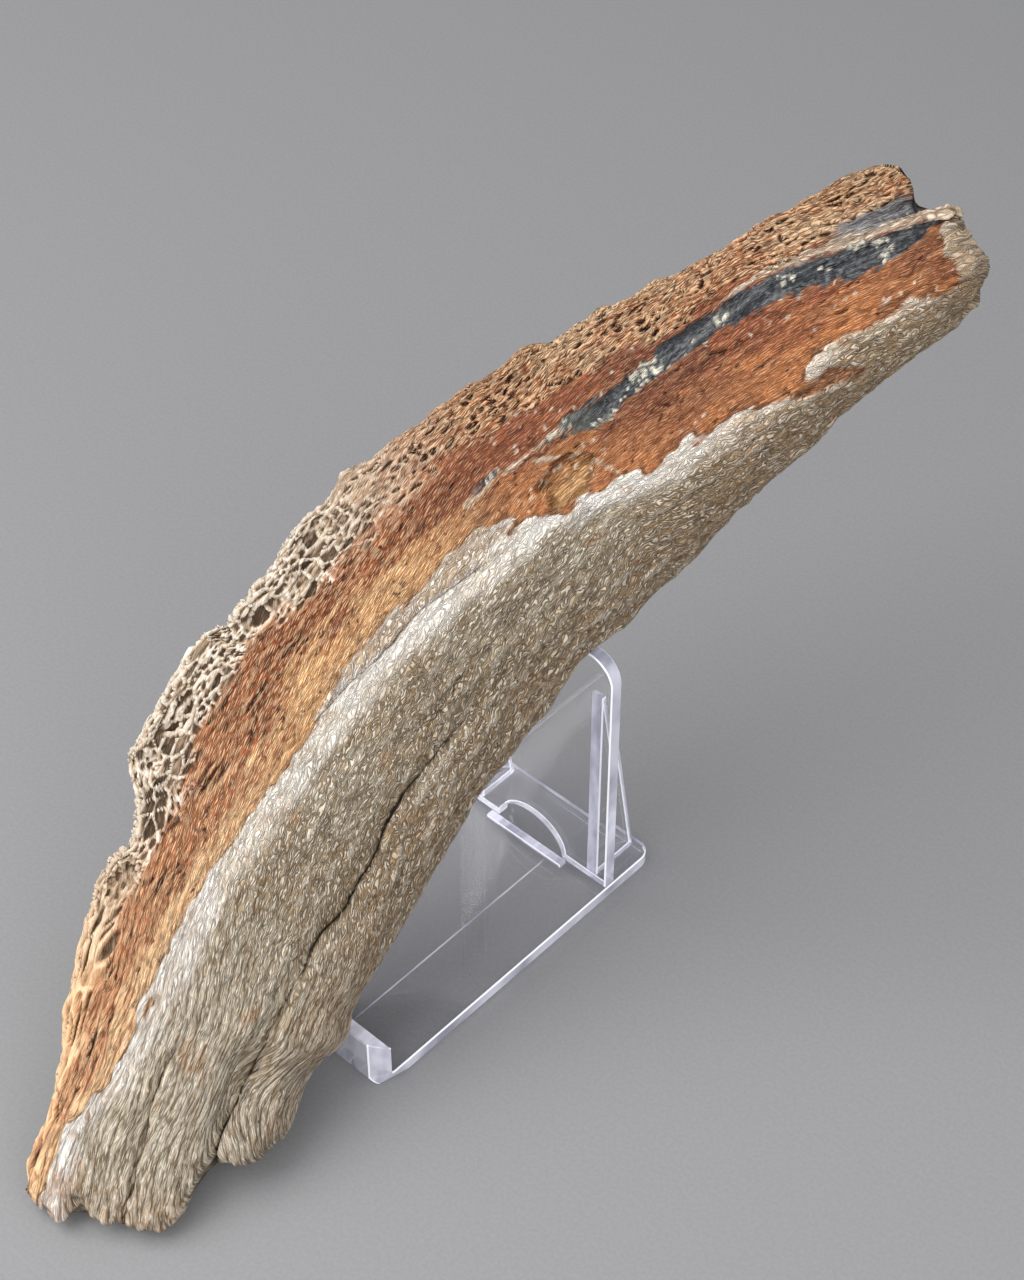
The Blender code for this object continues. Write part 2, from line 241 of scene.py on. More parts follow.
# %% Floor
floor_finish = Finish("floor_paper")
grain = floor_finish.noise(floor_finish.node("ShaderNodeTexCoord", output="Object"), 900.0, 2.0)
paper = floor_finish.mix(grain.between(0.3, 0.7), tone(136, 136, 138), tone(141, 141, 143))
floor_finish.surface(Base_Color=paper, Roughness=0.75)
bpy.ops.mesh.primitive_plane_add(size=6, location=(0, 0, -0.0003))
floor = bpy.context.object
floor.name = "floor"
floor.data.materials.append(floor_finish.material)
print("floor:", [round(d, 2) for d in floor.dimensions], "m")

# %% [markdown]
# ## The bone's form
# The bone is a long, gently bent wall. It could be sculpted by hand, but then nothing in it could be
# measured or moved. Its outline, crest and hollows are written as short tables of values against the
# distance along it, in millimetres, and a smooth curve goes through each table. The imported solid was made
# from the same values, so the finished surface lies on it.

# %% Where the bone lies
BONE_MIDDLE = (-12.92, 59.57, 102.34)  # middle of its centre line, from the middle of the lip's foot
BONE_SLOPE = 40.0      # degrees, rise of the centre line toward +Y
BONE_ROLL = 20.0       # degrees, the broken inner face turned toward +X
BONE_TURN = 9.4        # degrees, turn within its own plane
SIDE_BEND = 315.0      # radius of the centre line's bend within that plane
UP_BEND = 720.0        # radius of its bend out of that plane
HALF_LENGTH = 175.0    # distance from the lower end to the middle of the centre line
print("the centre line bends by %.0f degrees in all" % math.degrees(2 * HALF_LENGTH / SIDE_BEND))

# %% Outline and upper side, by distance along from the lower end
LEFT_EDGE = ((0, -24), (12, -27.5), (25, -26), (45, -28.9), (60, -32.6), (75, -34.2), (85, -34.8),
             (90, -33.2), (100, -36), (110, -43.6), (135, -43.6), (155, -39.9), (185, -40.4), (205, -37.3),
             (222, -33.8), (245, -30.6), (270, -26.2), (300, -25.2), (330, -26.4), (350, -22))
RIGHT_EDGE = ((0, 30), (30, 31.5), (40, 33.2), (55, 34.2), (66, 38.4), (76, 37.2), (90, 38.5), (120, 39.1),
              (145, 38.4), (180, 38.1), (200, 36.0), (214, 37.1), (235, 36.4), (260, 32.8), (285, 28.7),
              (310, 23.6), (330, 19), (350, 11))
CREST = ((0, -17), (26, -14), (42, -6), (60, -3), (92, -2), (128, 2), (167, 4), (193, 7), (222, 10),
         (246, 17), (267, 18), (290, 16), (309, 11), (336, 8), (350, 7))
CREST_HEIGHT = ((0, 2), (8, 4), (26, 8), (55, 10.5), (100, 11.5), (170, 11.5), (230, 10.5), (290, 8.5),
                (350, 7))
TROUGH_HEIGHT = ((0, 0), (30, 3), (60, 2), (120, 0), (180, 1), (240, 4), (300, 4), (350, 3))
RIM_HEIGHT = ((0, -1), (30, 0), (70, 1), (120, 2.5), (180, 2), (240, 1), (300, -1), (350, -2))
RIGHT_HEIGHT = ((0, 0), (25, -4), (65, -7), (200, -7.5), (300, -6.5), (350, -5.5))
print("the left edge reaches farthest at", min(LEFT_EDGE, key=lambda pair: pair[1]))

# %% Under side, by distance along
KEEL = ((0, -3.5), (6, -5.6), (12, -9), (20, -13.6), (40, -22), (56, -28.5), (70, -31.3), (105, -31),
        (150, -28), (196, -23.9), (250, -21), (300, -18), (350, -15))
RIGHT_UNDER = ((0, -3), (6, -5.2), (14, -9.5), (30, -17), (50, -22), (68, -24), (105, -22), (150, -17.5),
               (200, -12.9), (250, -14), (350, -12))
LEFT_UNDER = ((0, -4.5), (12, -8), (30, -9), (60, -10), (110, -10), (200, -10), (350, -11))
KEEL_LINE = ((0, 0), (50, 10), (70, 14), (130, 8), (196, 6), (350, 0))
print("the keel is deepest at", min(KEEL, key=lambda pair: pair[1]))

# %% Ragged ends and rounding
# Where the bone starts and stops, by fraction of the way from the left edge to the right edge.
LOWER_END = ((0, 8), (0.09, 4.5), (0.22, 5), (0.285, 8.6), (0.33, 7.3), (0.4, 5.8), (0.48, 5.2), (0.61, 5.2),
             (0.69, 8.5), (0.735, 16), (0.765, 26.5), (0.85, 25.5), (0.94, 27.5), (1, 34))
UPPER_END = ((0, 329), (0.08, 335), (0.2, 335), (0.3, 334.5), (0.37, 335), (0.4, 338),
             (0.43, 341.5), (0.47, 343), (0.6, 343), (0.8, 345), (0.92, 345), (1, 341))
EDGE_ROUND = (5.0, 6.0)     # rounding of the left and right edges
END_ROUND = (5.0, 4.5)      # rounding of the lower and upper ends
print("the lower end is ragged by", LOWER_END[-1][1] - LOWER_END[1][1], "mm")

# %% Splits, and the groove beside the crest
# The long split that opens between the two lower prongs, and the shorter one beside it.
SPLIT = ((28, 18.5), (46, 21), (72, 23), (91, 24), (104, 26), (115, 26), (136, 24), (151, 25), (168, 25))
SPLIT_DEPTH = ((20, 9), (40, 7), (80, 5), (120, 4), (150, 2.5), (171, 0))
SMALL_SPLIT = ((5, 1.5), (29, 2), (39, 2), (54, 4))
SMALL_SPLIT_DEPTH = ((5, 3.5), (35, 2.5), (58, 0))
STEP_LINE = ((130, -6), (142, -4), (162, -1), (176, 0), (193, 3), (205, 6))   # groove beside the crest
STEP_DEPTH = ((128, 0), (140, 2), (188, 2.2), (207, 0))
print("the long split runs to", SPLIT_DEPTH[-1][0], "mm")

# %% Vein, fork and hollows
# The dark mineral band.
VEIN = ((228, -9), (243, -6), (259, -7.5), (283, -8), (302, -7), (318, -5), (337, -4.5))
VEIN_HALF_WIDTH = ((226, 0.8), (243, 1.8), (259, 2.5), (283, 2.3), (302, 4), (318, 3.8), (337, 1.2))
# The back piece drops behind this line.
FORK_LINE = ((284, -12), (297, -11), (313, -9), (327, -8.3), (340, -7.8), (350, -7.5))
FORK_DEPTH = ((284, 0), (300, 2), (320, 4.5), (345, 7))
# Hollows broken out of the surface: along, across, half length, half width, depth.
HOLLOWS = ((229, 4, 10, 5.5, 3.2), (82, -28.5, 4.5, 2.8, 5), (196, 2, 5, 3, 1.5), (122, -36, 5, 3, 2.5),
           (139, -38, 6, 3, 2), (152, -33, 4, 3, 2), (108, -37, 4, 3, 2.5), (174, -35, 5, 3, 2),
           (344, 4, 4, 3, 2.5), (262, 5, 7, 4, 1.2), (58, 31, 5, 3, 2))
print("hollows:", len(HOLLOWS))


# %% A curve through a table
def smooth(table, x):
    """A curve through the table's (at, value) pairs: cubic between neighbours, with the slope at each the
    mean of the slopes on its two sides, or flat where they disagree in sign."""
    at, value = np.array(table, float).T
    x = np.clip(x, at[0], at[-1])
    secant = np.diff(value) / np.diff(at)
    slope = np.concatenate([secant[:1], (secant[1:] + secant[:-1]) / 2, secant[-1:]])
    slope[1:-1][secant[1:] * secant[:-1] <= 0] = 0
    i = np.clip(np.searchsorted(at, x, side="right") - 1, 0, len(at) - 2)
    step = at[i + 1] - at[i]
    t = (x - at[i]) / step
    return (value[i] * (1 + 2 * t) * (1 - t) ** 2 + slope[i] * step * t * (1 - t) ** 2
            + value[i + 1] * t * t * (3 - 2 * t) + slope[i + 1] * step * t * t * (t - 1))


print("a curve through the left edge at 100 mm:", smooth(LEFT_EDGE, np.array([100.0])).round(1))

# %% [markdown]
# ## Random fields
# Bone is uneven everywhere, in lumps, pits and cells. Blender's own noise is at hand inside a finish, but
# the mesh needs it too. So three kinds of it are worked out here from seeded random tables: lumps on a flat
# grid, clouds in space, and cells round scattered seeds.


# %% Lumps and clouds
def lumps(x, y, seed):
    """Smooth random bumps from -1 to 1, one per unit square."""
    table = np.random.default_rng(seed).uniform(-1, 1, (64, 64))
    i, j = np.floor(x).astype(int), np.floor(y).astype(int)
    a, b = x - i, y - j
    a, b = a * a * (3 - 2 * a), b * b * (3 - 2 * b)
    i, j, next_i, next_j = i % 64, j % 64, (i + 1) % 64, (j + 1) % 64
    near = table[i, j] * (1 - b) + table[i, next_j] * b
    far = table[next_i, j] * (1 - b) + table[next_i, next_j] * b
    return near * (1 - a) + far * a


def cloud(at, seed):
    """Smooth random values from -1 to 1 in space, one per unit cube: the eight corners of a cube,
    blended."""
    table = np.random.default_rng(seed).uniform(-1, 1, (32, 32, 32))
    low = np.floor(at).astype(int)
    t = at - low
    t = t * t * (3 - 2 * t)
    total = 0
    for corner in np.ndindex(2, 2, 2):
        weight = np.prod(np.where(corner, t, 1 - t), axis=-1)
        i, j, k = np.moveaxis((low + corner) % 32, -1, 0)
        total = total + weight * table[i, j, k]
    return total


cloudy = cloud(np.random.default_rng(1).uniform(0, 30, (1000, 3)), 51)
print("a cloud's spread:", round(float(cloudy.std()), 2))


# %% Cells round seeds
def cells(at, seed):
    """For seeds scattered one per unit cube: distance to the nearest, how much farther the second is, and a
    number from 0 to 1 that belongs to the nearest."""
    rng = np.random.default_rng(seed)
    jitter, own = rng.uniform(0.1, 0.9, (32, 32, 32, 3)), rng.uniform(0, 1, (32, 32, 32))
    low = np.floor(at).astype(int)
    first = np.full(at.shape[:-1], 9.0)
    second, label = first.copy(), first * 0
    for step in np.ndindex(3, 3, 3):
        cube = low + np.array(step) - 1
        i, j, k = np.moveaxis(cube % 32, -1, 0)
        far = np.linalg.norm(cube + jitter[i, j, k] - at, axis=-1)
        second = np.minimum(second, np.maximum(first, far))
        label = np.where(far < first, own[i, j, k], label)
        first = np.minimum(first, far)
    return first, second - first, label


# %% A soft step
def step(value, low, high):
    """0 below low, 1 above high, and an S-shaped rise between."""
    t = np.clip((value - low) / (high - low), 0, 1)
    return t * t * (3 - 2 * t)


print("half way up a soft step:", step(0.5, 0, 1))

# %% [markdown]
# ## The bone's two sides
# The upper side carries everything the eye reads: a raised spongy rim, a trough, a rounded crest, splits and
# steps. The under side is a plain keel that clears the stand. A block could be cut down to this form, but
# two heights over the same outline are simpler: each is one formula of the distances along and across.


# %% Rounded edges and grooves
def spaced(part, length, start, stop):
    """Distances from 0 to length, spaced evenly round a quarter circle at each end."""
    a, b = start * math.pi / 2, stop * math.pi / 2
    total = length - start - stop + a + b
    w = part * total
    first = start * (1 - np.cos(np.minimum(w, a) / start))
    last = length - stop * (1 - np.cos(np.minimum(total - w, b) / stop))
    return np.where(w < a, first, np.where(w > total - b, last, start + w - a))


def rounded(distance, radius):
    """A quarter circle that rises from 0 at the edge to 1 at this distance."""
    return np.sqrt(1 - (1 - np.clip(distance / radius, 0, 1)) ** 2)


def groove(across, line, half_width):
    """A bell-shaped valley along a line."""
    return np.exp(-(((across - line) / half_width) ** 2))


def line_wander(along):
    """How far the splits stray to one side."""
    return 0.7 * lumps(along / 9, along * 0 + 0.5, 31) + 0.3 * lumps(along / 3, along * 0 + 0.5, 32)


print("a quarter of the way in, a rounded edge is at", rounded(0.25, 1.0).round(2))

# %% Under side
CARRIED_AT = (69, 197)     # distance along at which the lip and the upright carry the bone


def under_side(along, across):
    """Two slopes that meet in a rounded keel, with soft lumps that fade where the stand carries the bone."""
    left, right = smooth(LEFT_EDGE, along), smooth(RIGHT_EDGE, along)
    keel, low = smooth(KEEL_LINE, along), smooth(KEEL, along)
    near = np.clip((across - left) / (keel - left), 0, 1)
    far = np.clip((across - keel) / (right - keel), 0, 1)
    under_left, under_right = smooth(LEFT_UNDER, along), smooth(RIGHT_UNDER, along)
    height = np.where(across < keel, under_left + (low - under_left) * np.sin(near * math.pi / 2) ** 1.2,
                      low + (under_right - low) * far ** 1.15)
    calm = np.clip(np.minimum(*(np.abs(along - at) for at in CARRIED_AT)) / 14, 0.05, 1)
    return height + calm * np.clip((along - 8) / 25, 0, 1) * (
        1.1 * lumps(along / 17, across / 10, 3) + 0.6 * lumps(along / 7, across / 5, 4))


print("keel at 100 mm:", under_side(np.array([100.0]), smooth(KEEL_LINE, np.array([100.0]))).round(1))


# %% Upper side
def upper_side(along, across):
    """Rim, trough and crest as blended curves, less each groove and hollow."""
    left, right = smooth(LEFT_EDGE, along), smooth(RIGHT_EDGE, along)
    crest, top = smooth(CREST, along), smooth(CREST_HEIGHT, along)
    trough, rim = smooth(TROUGH_HEIGHT, along), smooth(RIM_HEIGHT, along)
    side = np.clip((across - left) / (crest - left), 0, 1)
    inner = rim + (trough - rim) * np.sin(np.clip(side / 0.55, 0, 1) * math.pi / 2) ** 2
    rise = np.clip((side - 0.55) / 0.45, 0, 1) ** 1.7
    inner = np.where(side > 0.55, trough + (top - trough) * rise, inner)
    fall = np.clip((across - crest) / (right - crest), 0, 1)
    outer = top + (smooth(RIGHT_HEIGHT, along) - top) * (0.25 * fall + 0.75 * fall ** 2)
    height = np.where(across < crest, inner, outer) - 0.8 * groove(across, crest, 4)
    wander = line_wander(along)
    crack_shade, split = smooth(SPLIT_DEPTH, along) * (along > 15), smooth(SPLIT, along) + wander
    height -= crack_shade * (0.6 * groove(across, split, 0.8) + 0.5 * groove(across, split, 2.4))
    height -= smooth(SMALL_SPLIT_DEPTH, along) * groove(across, smooth(SMALL_SPLIT, along) + wander, 1.2)
    height -= smooth(STEP_DEPTH, along) * groove(across, smooth(STEP_LINE, along) + wander, 1.5)
    vein = smooth(VEIN_HALF_WIDTH, along) * (along > 226)
    height -= 1.2 * groove(across, smooth(VEIN, along), np.maximum(vein, 0.5)) * (vein > 0)
    fork = smooth(FORK_LINE, along)
    height -= smooth(FORK_DEPTH, along) / (1 + np.exp(np.clip((across - fork) / 0.5, -30, 30)))
    height += 0.8 * np.clip(smooth(FORK_DEPTH, along) / 3, 0, 1) * groove(across, fork + 1.5, 1.2)
    for at, over, half_length, half_width, depth in HOLLOWS:
        far = ((along - at) / half_length) ** 2 + ((across - over) / half_width) ** 2
        height -= depth * np.exp(-far ** 2)
    spongy = np.clip(1 - (across - left - 12) / 8, 0, 1)
    height += spongy * 1.0 * lumps(along / 6.5, across / 4.2, 5) - spongy * 0.5
    height += 0.7 * lumps(along / 16, across / 5, 6) + 0.4 * lumps(along / 8, across / 3.5, 7)
    return height


print("crest at 100 mm:", upper_side(np.array([100.0]), smooth(CREST, np.array([100.0]))).round(1))


# %% From the bone's own distances to the model's axes
def placed(along, across, height):
    """From distances along, across and above the bone's bent centre line to the model's axes, in
    millimetres."""
    slope, roll, turn = (math.radians(a) for a in (BONE_SLOPE, BONE_ROLL, BONE_TURN))
    rise = Vector((0, math.cos(slope), math.sin(slope)))
    face = Vector((0, -math.sin(slope), math.cos(slope))) * math.cos(roll) + Vector((math.sin(roll), 0, 0))
    flank = rise.cross(face)
    length = rise * math.cos(turn) + flank * math.sin(turn)
    flank = length.cross(face)
    away = along - HALF_LENGTH
    angle = away / SIDE_BEND
    forward = (SIDE_BEND - across) * np.sin(angle)
    sideways = SIDE_BEND - (SIDE_BEND - across) * np.cos(angle)
    out = height + away ** 2 / (2 * UP_BEND)
    return (LIP_FOOT + np.array(BONE_MIDDLE) + forward[..., None] * np.array(length)
            + sideways[..., None] * np.array(flank) + out[..., None] * np.array(face))


print("the centre line's middle:", placed(*np.array((HALF_LENGTH, 0, 0))[:, None])[0].round(1))

# %% [markdown]
# ## The bone as rings
# A grid of points wraps the form: rings across the bone, set one after another along it. A block with voxels
# would give even faces, but no directions. Rings keep the distances along, across and round, which the grain
# follows.

# %% Rings
ROWS, OVER_TOP, OVER_UNDER = 500, 150, 44      # rings, points over the upper side, points back under it
SPAN = 80.0                # nominal width that the rounding of the edges is measured on
THINNEST = 1.5             # least half thickness before the edges are rounded


def ring_grid(u, v):
    """The whole skin as rings: u runs from the lower end to the upper end, and v runs once round, 0 to 1
    over the upper side from left to right, then 1 to 2 back under it. The two sides share their middle at
    every edge, and a quarter circle of thickness rounds it off."""
    top = v <= 1
    over = spaced(np.where(top, v, 2 - v), SPAN, *EDGE_ROUND)
    part = over / SPAN
    start = smooth(LOWER_END, part) + 0.7 * lumps(part * 26, part * 0, 8)
    stop = smooth(UPPER_END, part) + 0.8 * lumps(part * 20, part * 0, 9)
    gone = spaced(u, stop - start, *END_ROUND)
    along = start + gone
    left = smooth(LEFT_EDGE, along) + 0.9 * lumps(along / 7, along * 0, 10)
    left = left + 0.5 * lumps(along / 3.5, along * 0, 11)
    right = smooth(RIGHT_EDGE, along) + 0.5 * lumps(along / 9, along * 0, 12)
    across = left + part * (right - left)
    high, low = upper_side(along, across), under_side(along, across)
    middle, half = (high + low) / 2, np.maximum((high - low) / 2, THINNEST)
    half = half * rounded(over, EDGE_ROUND[0]) * rounded(SPAN - over, EDGE_ROUND[1])
    half = half * rounded(gone, END_ROUND[0]) * rounded(stop - start - gone, END_ROUND[1])
    half = np.maximum(half, 0.2 * (rounded(over, 2.0) * rounded(SPAN - over, 2.0)))
    return along, across, np.where(top, middle + half, middle - half)


# More points lie on the left third, where the spongy edge needs them.
v_top = np.interp(np.linspace(0, 1, OVER_TOP), (0, 0.42, 1), (0, 0.3, 1))
v_under = np.linspace(1, 2, OVER_UNDER + 2)[1:-1]
u_grid, v_grid = np.meshgrid(np.linspace(0, 1, ROWS), np.concatenate((v_top, v_under)), indexing="ij")
along, across, height = ring_grid(u_grid, v_grid)
bone_base = placed(along, across, height)
print("bone rings:", bone_base.shape)


# %% Which way is out
def ring_normals(points):
    """Outward directions from the differences between neighbouring points."""
    round_it = np.roll(points, -1, axis=1) - np.roll(points, 1, axis=1)
    along_it = np.gradient(points, axis=0)
    normal = np.cross(round_it, along_it)
    return normal / np.maximum(np.linalg.norm(normal, axis=-1, keepdims=True), 1e-9)


outward = ring_normals(bone_base)
print("out at the middle of the upper side:", outward[ROWS // 2, OVER_TOP // 2].round(2))

# %% [markdown]
# ## Zones
# The bone has three textures: open spongy bone along the left edge, a rust-stained inner face with fibres
# along its length, and the pale outer layer with a knotted grain. Their borders could be painted on the
# mesh. Here each zone is a mask worked out from the distances along and across, because the same mask then
# drives relief and colour.

# %% Borders of the zones, by distance along
SPONGY_LINE = ((0, -26), (24, -24), (34, -22), (45, -22), (51, -25), (64, -23), (79, -24), (92, -25),
               (106, -23.6), (122, -29), (131, -28), (144, -29), (160, -27.3), (182, -23.1), (202, -22.2),
               (230, -19.7), (251, -14.8), (278, -13), (306, -13.8), (332, -15.8), (350, -16))
STAIN_LINE = ((0, -23), (15, -22), (20, -21), (30, -16), (36, -11.5), (44, -10), (54, -8.6), (63, -7.8),
              (75, -9.4), (91, -8.3), (103, -7.7), (109, -5.3), (124, -3.3), (133, -3.9), (149, -6),
              (177, -5.6), (198, -4), (213, 2), (222, 7), (235, 8), (247, 14), (262, 15), (280, 15),
              (290, 18), (299, 12), (311, 12), (332, 11), (343, 11), (350, 11))
# The dark vein's upper and lower edge, and the dark spot beyond its lower end.
VEIN_UPPER = ((226, -9.2), (236, -9.8), (243, -9.6), (253, -9.8), (277, -10.8), (297, -11.5), (305, -10.4),
              (312, -9), (336, -5.6), (342, -5))
VEIN_LOWER = ((226, -9), (236, -7.2), (243, -3.8), (262, -5.1), (286, -5.5), (304, -3.1), (319, -1.1),
              (330, -2.4), (336, -3.7), (342, -5))
DARK_SPOT = (211.5, -11.6, 5.5, 1.2)      # along, across, half length, half width
SCOOP = (228.5, 2.0, 8.0, 6.5)            # hollow with a pale broken rim
BROKEN_FROM = 338                         # the upper end is broken, and pale, from here
RUST_STREAK = ((279, 15.7), (293, 18.2), (307, 19.8))     # stain showing through the outer layer
PALE_LINES = (((205, -10.5), (213, -10.2), (221.5, -9.3), (229, -9.4), (235, -9)),
              ((221.5, -9.3), (229.5, -3.8), (235.5, 0), (238.5, 6.9), (240, 10.5), (241, 14)))
print("borders run from", SPONGY_LINE[0][0], "to", SPONGY_LINE[-1][0], "mm")


# %% Distance to an oval and to a line
def ellipse(along, across, oval):
    """Distance from the middle of an oval, where 1 is its edge."""
    return np.hypot((along - oval[0]) / oval[2], (across - oval[1]) / oval[3])


def gap_to(along, across, path):
    """Distance to a broken line: the least, over its pieces, of the distance to the nearest point on the
    piece."""
    gap = np.full(along.shape, 99.0)
    for (s0, q0), (s1, q1) in zip(path, path[1:]):
        on_s, on_q = s1 - s0, q1 - q0
        t = np.clip(((along - s0) * on_s + (across - q0) * on_q) / (on_s ** 2 + on_q ** 2), 0, 1)
        gap = np.minimum(gap, np.hypot(along - s0 - t * on_s, across - q0 - t * on_q))
    return gap


print("from the scoop's middle to its edge:", ellipse(SCOOP[0] + SCOOP[2], SCOOP[1], SCOOP))


# %% Zones
def zones(along, across, top):
    """Masks from 0 to 1: spongy edge, outer layer and dark vein, then how far a point lies from the spongy
    edge, 0, to the outer layer, 1, its distance past the outer layer's edge, and how far inside the spongy
    edge it lies."""
    ragged = (2.2 * lumps(along / 15, across / 3.2, 41) + 1.5 * lumps(along / 6.5, across / 1.8, 42)
              + 0.9 * lumps(along / 2.6, across / 1.2, 43))
    inner_edge, outer_edge = smooth(SPONGY_LINE, along), smooth(STAIN_LINE, along)
    spongy = step(inner_edge + 1.1 * ragged - across, -1.0, 1.6)
    spongy_under = step(smooth(LEFT_EDGE, along) + 14 + 2 * ragged - across, -3, 3)
    spongy = np.where(top, spongy, spongy_under)
    outer = step(across - outer_edge - ragged, -0.5, 0.7)
    past_fork = step(across - smooth(FORK_LINE, along), 0.5, 2)
    broken_end = step(along + 0.8 * ragged - BROKEN_FROM, -0.8, 0.8) * past_fork
    outer = np.maximum(outer, broken_end)
    outer = outer * (1 - 0.85 * step(1.0 + 0.5 * ragged - gap_to(along, across, RUST_STREAK), -0.3, 0.5))
    outer = np.where(top, outer, step(across - smooth(LEFT_EDGE, along) - 16 - 2 * ragged, -2, 3))
    upper, lower = smooth(VEIN_UPPER, along), smooth(VEIN_LOWER, along)
    frayed = 0.3 * ragged + 0.9 * lumps(along / 3.2, across / 0.9, 46)
    frayed = frayed + 0.5 * lumps(along / 1.3, across / 0.8, 47)
    vein = step(across - upper - frayed, -0.3, 0.5) * step(lower + frayed - across, -0.3, 0.5)
    vein = vein * step(lower - upper, 0.3, 1.2)
    far = ellipse(along, across, DARK_SPOT) + 0.12 * ragged
    vein = np.maximum(vein, 0.85 * (1 - step(far, 0.7, 1.1)))
    band = np.clip((across - inner_edge + ragged) / np.maximum(outer_edge - inner_edge, 4), 0, 1)
    into = np.where(top, inner_edge + 1.1 * ragged - across, 9.0)
    past_stain = across - outer_edge - ragged
    return spongy, outer, np.where(top, vein, 0), np.where(top, band, 0.5), past_stain, into


top = v_grid <= 1
spongy, outer, vein, band, stain_gap, into_sponge = zones(along, across, top)
shares = (spongy.mean(), outer.mean(), vein.mean())
print("share of the skin: spongy %.2f, outer layer %.2f, vein %.3f" % shares)


# %% Pale rims, the fork's back and the scoop
def features(along, across, top):
    """Three more masks: pale rims beside the vein and along the pale lines, the slate-grey back of the fork,
    and the scoop."""
    ragged = lumps(along / 5, across / 1.6, 44) + 0.6 * lumps(along / 2, across / 1.1, 45)
    beside = smooth(VEIN_UPPER, along) - across
    width = np.interp(along, (278, 296, 320, 343), (0.2, 1.2, 2.0, 2.6))
    rim = step(width + 0.7 * ragged - np.abs(beside - width), -0.2, 0.4) * step(along, 276, 292)
    for path in PALE_LINES:
        gap = gap_to(along, across, path) - 0.45 - 0.7 * ragged
        rim = np.maximum(rim, 0.9 * step(-gap, -0.2, 0.5))
    far = ellipse(along, across, SCOOP) + 0.28 * ragged
    rear = step(along + 3 * ragged - 316, -2, 4) * step(smooth(FORK_LINE, along) - across, 0, 1.5)
    rear = rear * step(across + 16 + ragged, 0, 1.5)
    return np.where(top, rim, 0), np.where(top, rear, 0), np.where(top, 1 - step(far, 0.75, 1.05), 0)


rim, rear, scoop = features(along, across, top)
print("share of the skin: rims %.3f, fork's back %.3f, scoop %.3f" % (rim.mean(), rear.mean(), scoop.mean()))

# %% [markdown]
# ## The grain's ways
# Grain follows the skin, not the axes. A flat map of the skin could be unwrapped by hand, but here the rings
# give it at once: the distance round the ring from the crest, and the distance along the bone.

# %% Distance round the rings
# Steep walls of the splits count little, or the strands beyond a split would fan out.
legs = np.linalg.norm(np.roll(bone_base, -1, axis=1) - bone_base, axis=-1)
spacing = np.abs(np.roll(across, -1, axis=1) - across)
legs = np.where((v_grid > 0.06) & (v_grid < 0.88), np.minimum(legs, 1.3 * spacing), legs)
reach = np.cumsum(legs, axis=1) - legs
round_part = reach / legs.sum(axis=1, keepdims=True)
# What the slopes add to the distance across is evened out along the bone, so that a lump on one ring leaves
# the strands straight. Strands also run a little slantwise, toward the spongy edge as they climb.
EVENED_ROWS = 19
STRAND_SLANT = 0.2
from_crest = across - smooth(CREST, along)
near_crest = np.exp(-(from_crest / 1.5) ** 2) * top
at_crest = (reach * near_crest).sum(axis=1, keepdims=True) / near_crest.sum(axis=1, keepdims=True)
added = np.pad(reach - at_crest - from_crest, ((EVENED_ROWS // 2, EVENED_ROWS // 2), (0, 0)), "edge")
added = sum(added[row:row + ROWS] for row in range(EVENED_ROWS)) / EVENED_ROWS
way_round = across + added + STRAND_SLANT * np.clip(along - 60, 0, 170)
print("way round from %.0f to %.0f mm" % (way_round.min(), way_round.max()))


# %% Grain that wanders
skin_at = np.stack((along, across, height), axis=-1)


def swayed(points, size, reach, seeds):
    """Points moved by a smooth random amount along each axis, from one cloud for each."""
    return points + np.stack([cloud(skin_at / size, seed) for seed in seeds], axis=-1) * reach


def strands(count, length, wander, seed):
    """Wavering strands side by side, 0 in a crease and 1 along a strand: a cosine round the ring, whole
    times, with a phase that drifts by smooth random amounts, so that strands bend, fork and curl."""
    width = 175 / count
    drift = (cloud(skin_at / (length, 2.6 * width, 2.6 * width), seed)
             + 0.55 * cloud(skin_at / (0.42 * length, 1.2 * width, 1.2 * width), seed + 1))
    return 0.5 + 0.5 * np.cos(2 * math.pi * (count * round_part + wander * drift))


bent = swayed(skin_at, (11, 7, 7), (2.6, 1.7, 1.7), (51, 52, 53))
curled = swayed(bent, (4.5, 3, 3), (1.6, 0.9, 0.9), (54, 55, 56))
print("the grain sways by up to %.1f mm" % np.abs(curled - skin_at).max())

# %% [markdown]
# ## The spongy edge
# Inside a leg bone, thin walls hold the marrow in a foam. On this edge the foam is broken open: long slots
# low down, a comb of walls in the middle, and small holes among strands above. Each opening could be cut out
# one by one, but there are hundreds. Seeds scattered in space give them all together: a point that has two
# seeds at the same distance is on a wall between two openings, and a point far from that is deep in one.

# %% Slots, comb and holes
low_part = 1 - step(along + 6 * cloud(skin_at / 12, 58), 66, 86)
high_part = step(along + 9 * cloud(skin_at / 15, 57), 168, 205)
middle_part = (1 - low_part) * (1 - high_part)
comb_gap, comb_own = cells(bent / (4.6, 2.8, 3.6), 61)[1:]
small_gap, small_own = cells(bent / (2.6, 1.5, 2.0), 60)[1:]
slot_gap, slot_own = cells(bent / (11.0, 1.9, 2.6), 73)[1:]
hole_gap, hole_own = cells(curled / (3.6, 1.5, 2.0), 62)[1:]
coarse = step(cloud(skin_at / (9, 6, 6), 74), -0.45, -0.1)
comb = coarse * step(comb_gap, 0.04, 0.2) * (0.3 + 0.6 * comb_own)
comb = comb + (1 - coarse) * 0.6 * step(small_gap, 0.08, 0.4) * (0.3 + 0.7 * small_own)
slot = step(slot_gap, 0.1, 0.45) * np.where(slot_own > 0.35, 0.35 + 0.65 * slot_own, 0.12)
hole = step(hole_gap, 0.1, 0.5) * np.where(hole_own > 0.5, hole_own, 0.1)
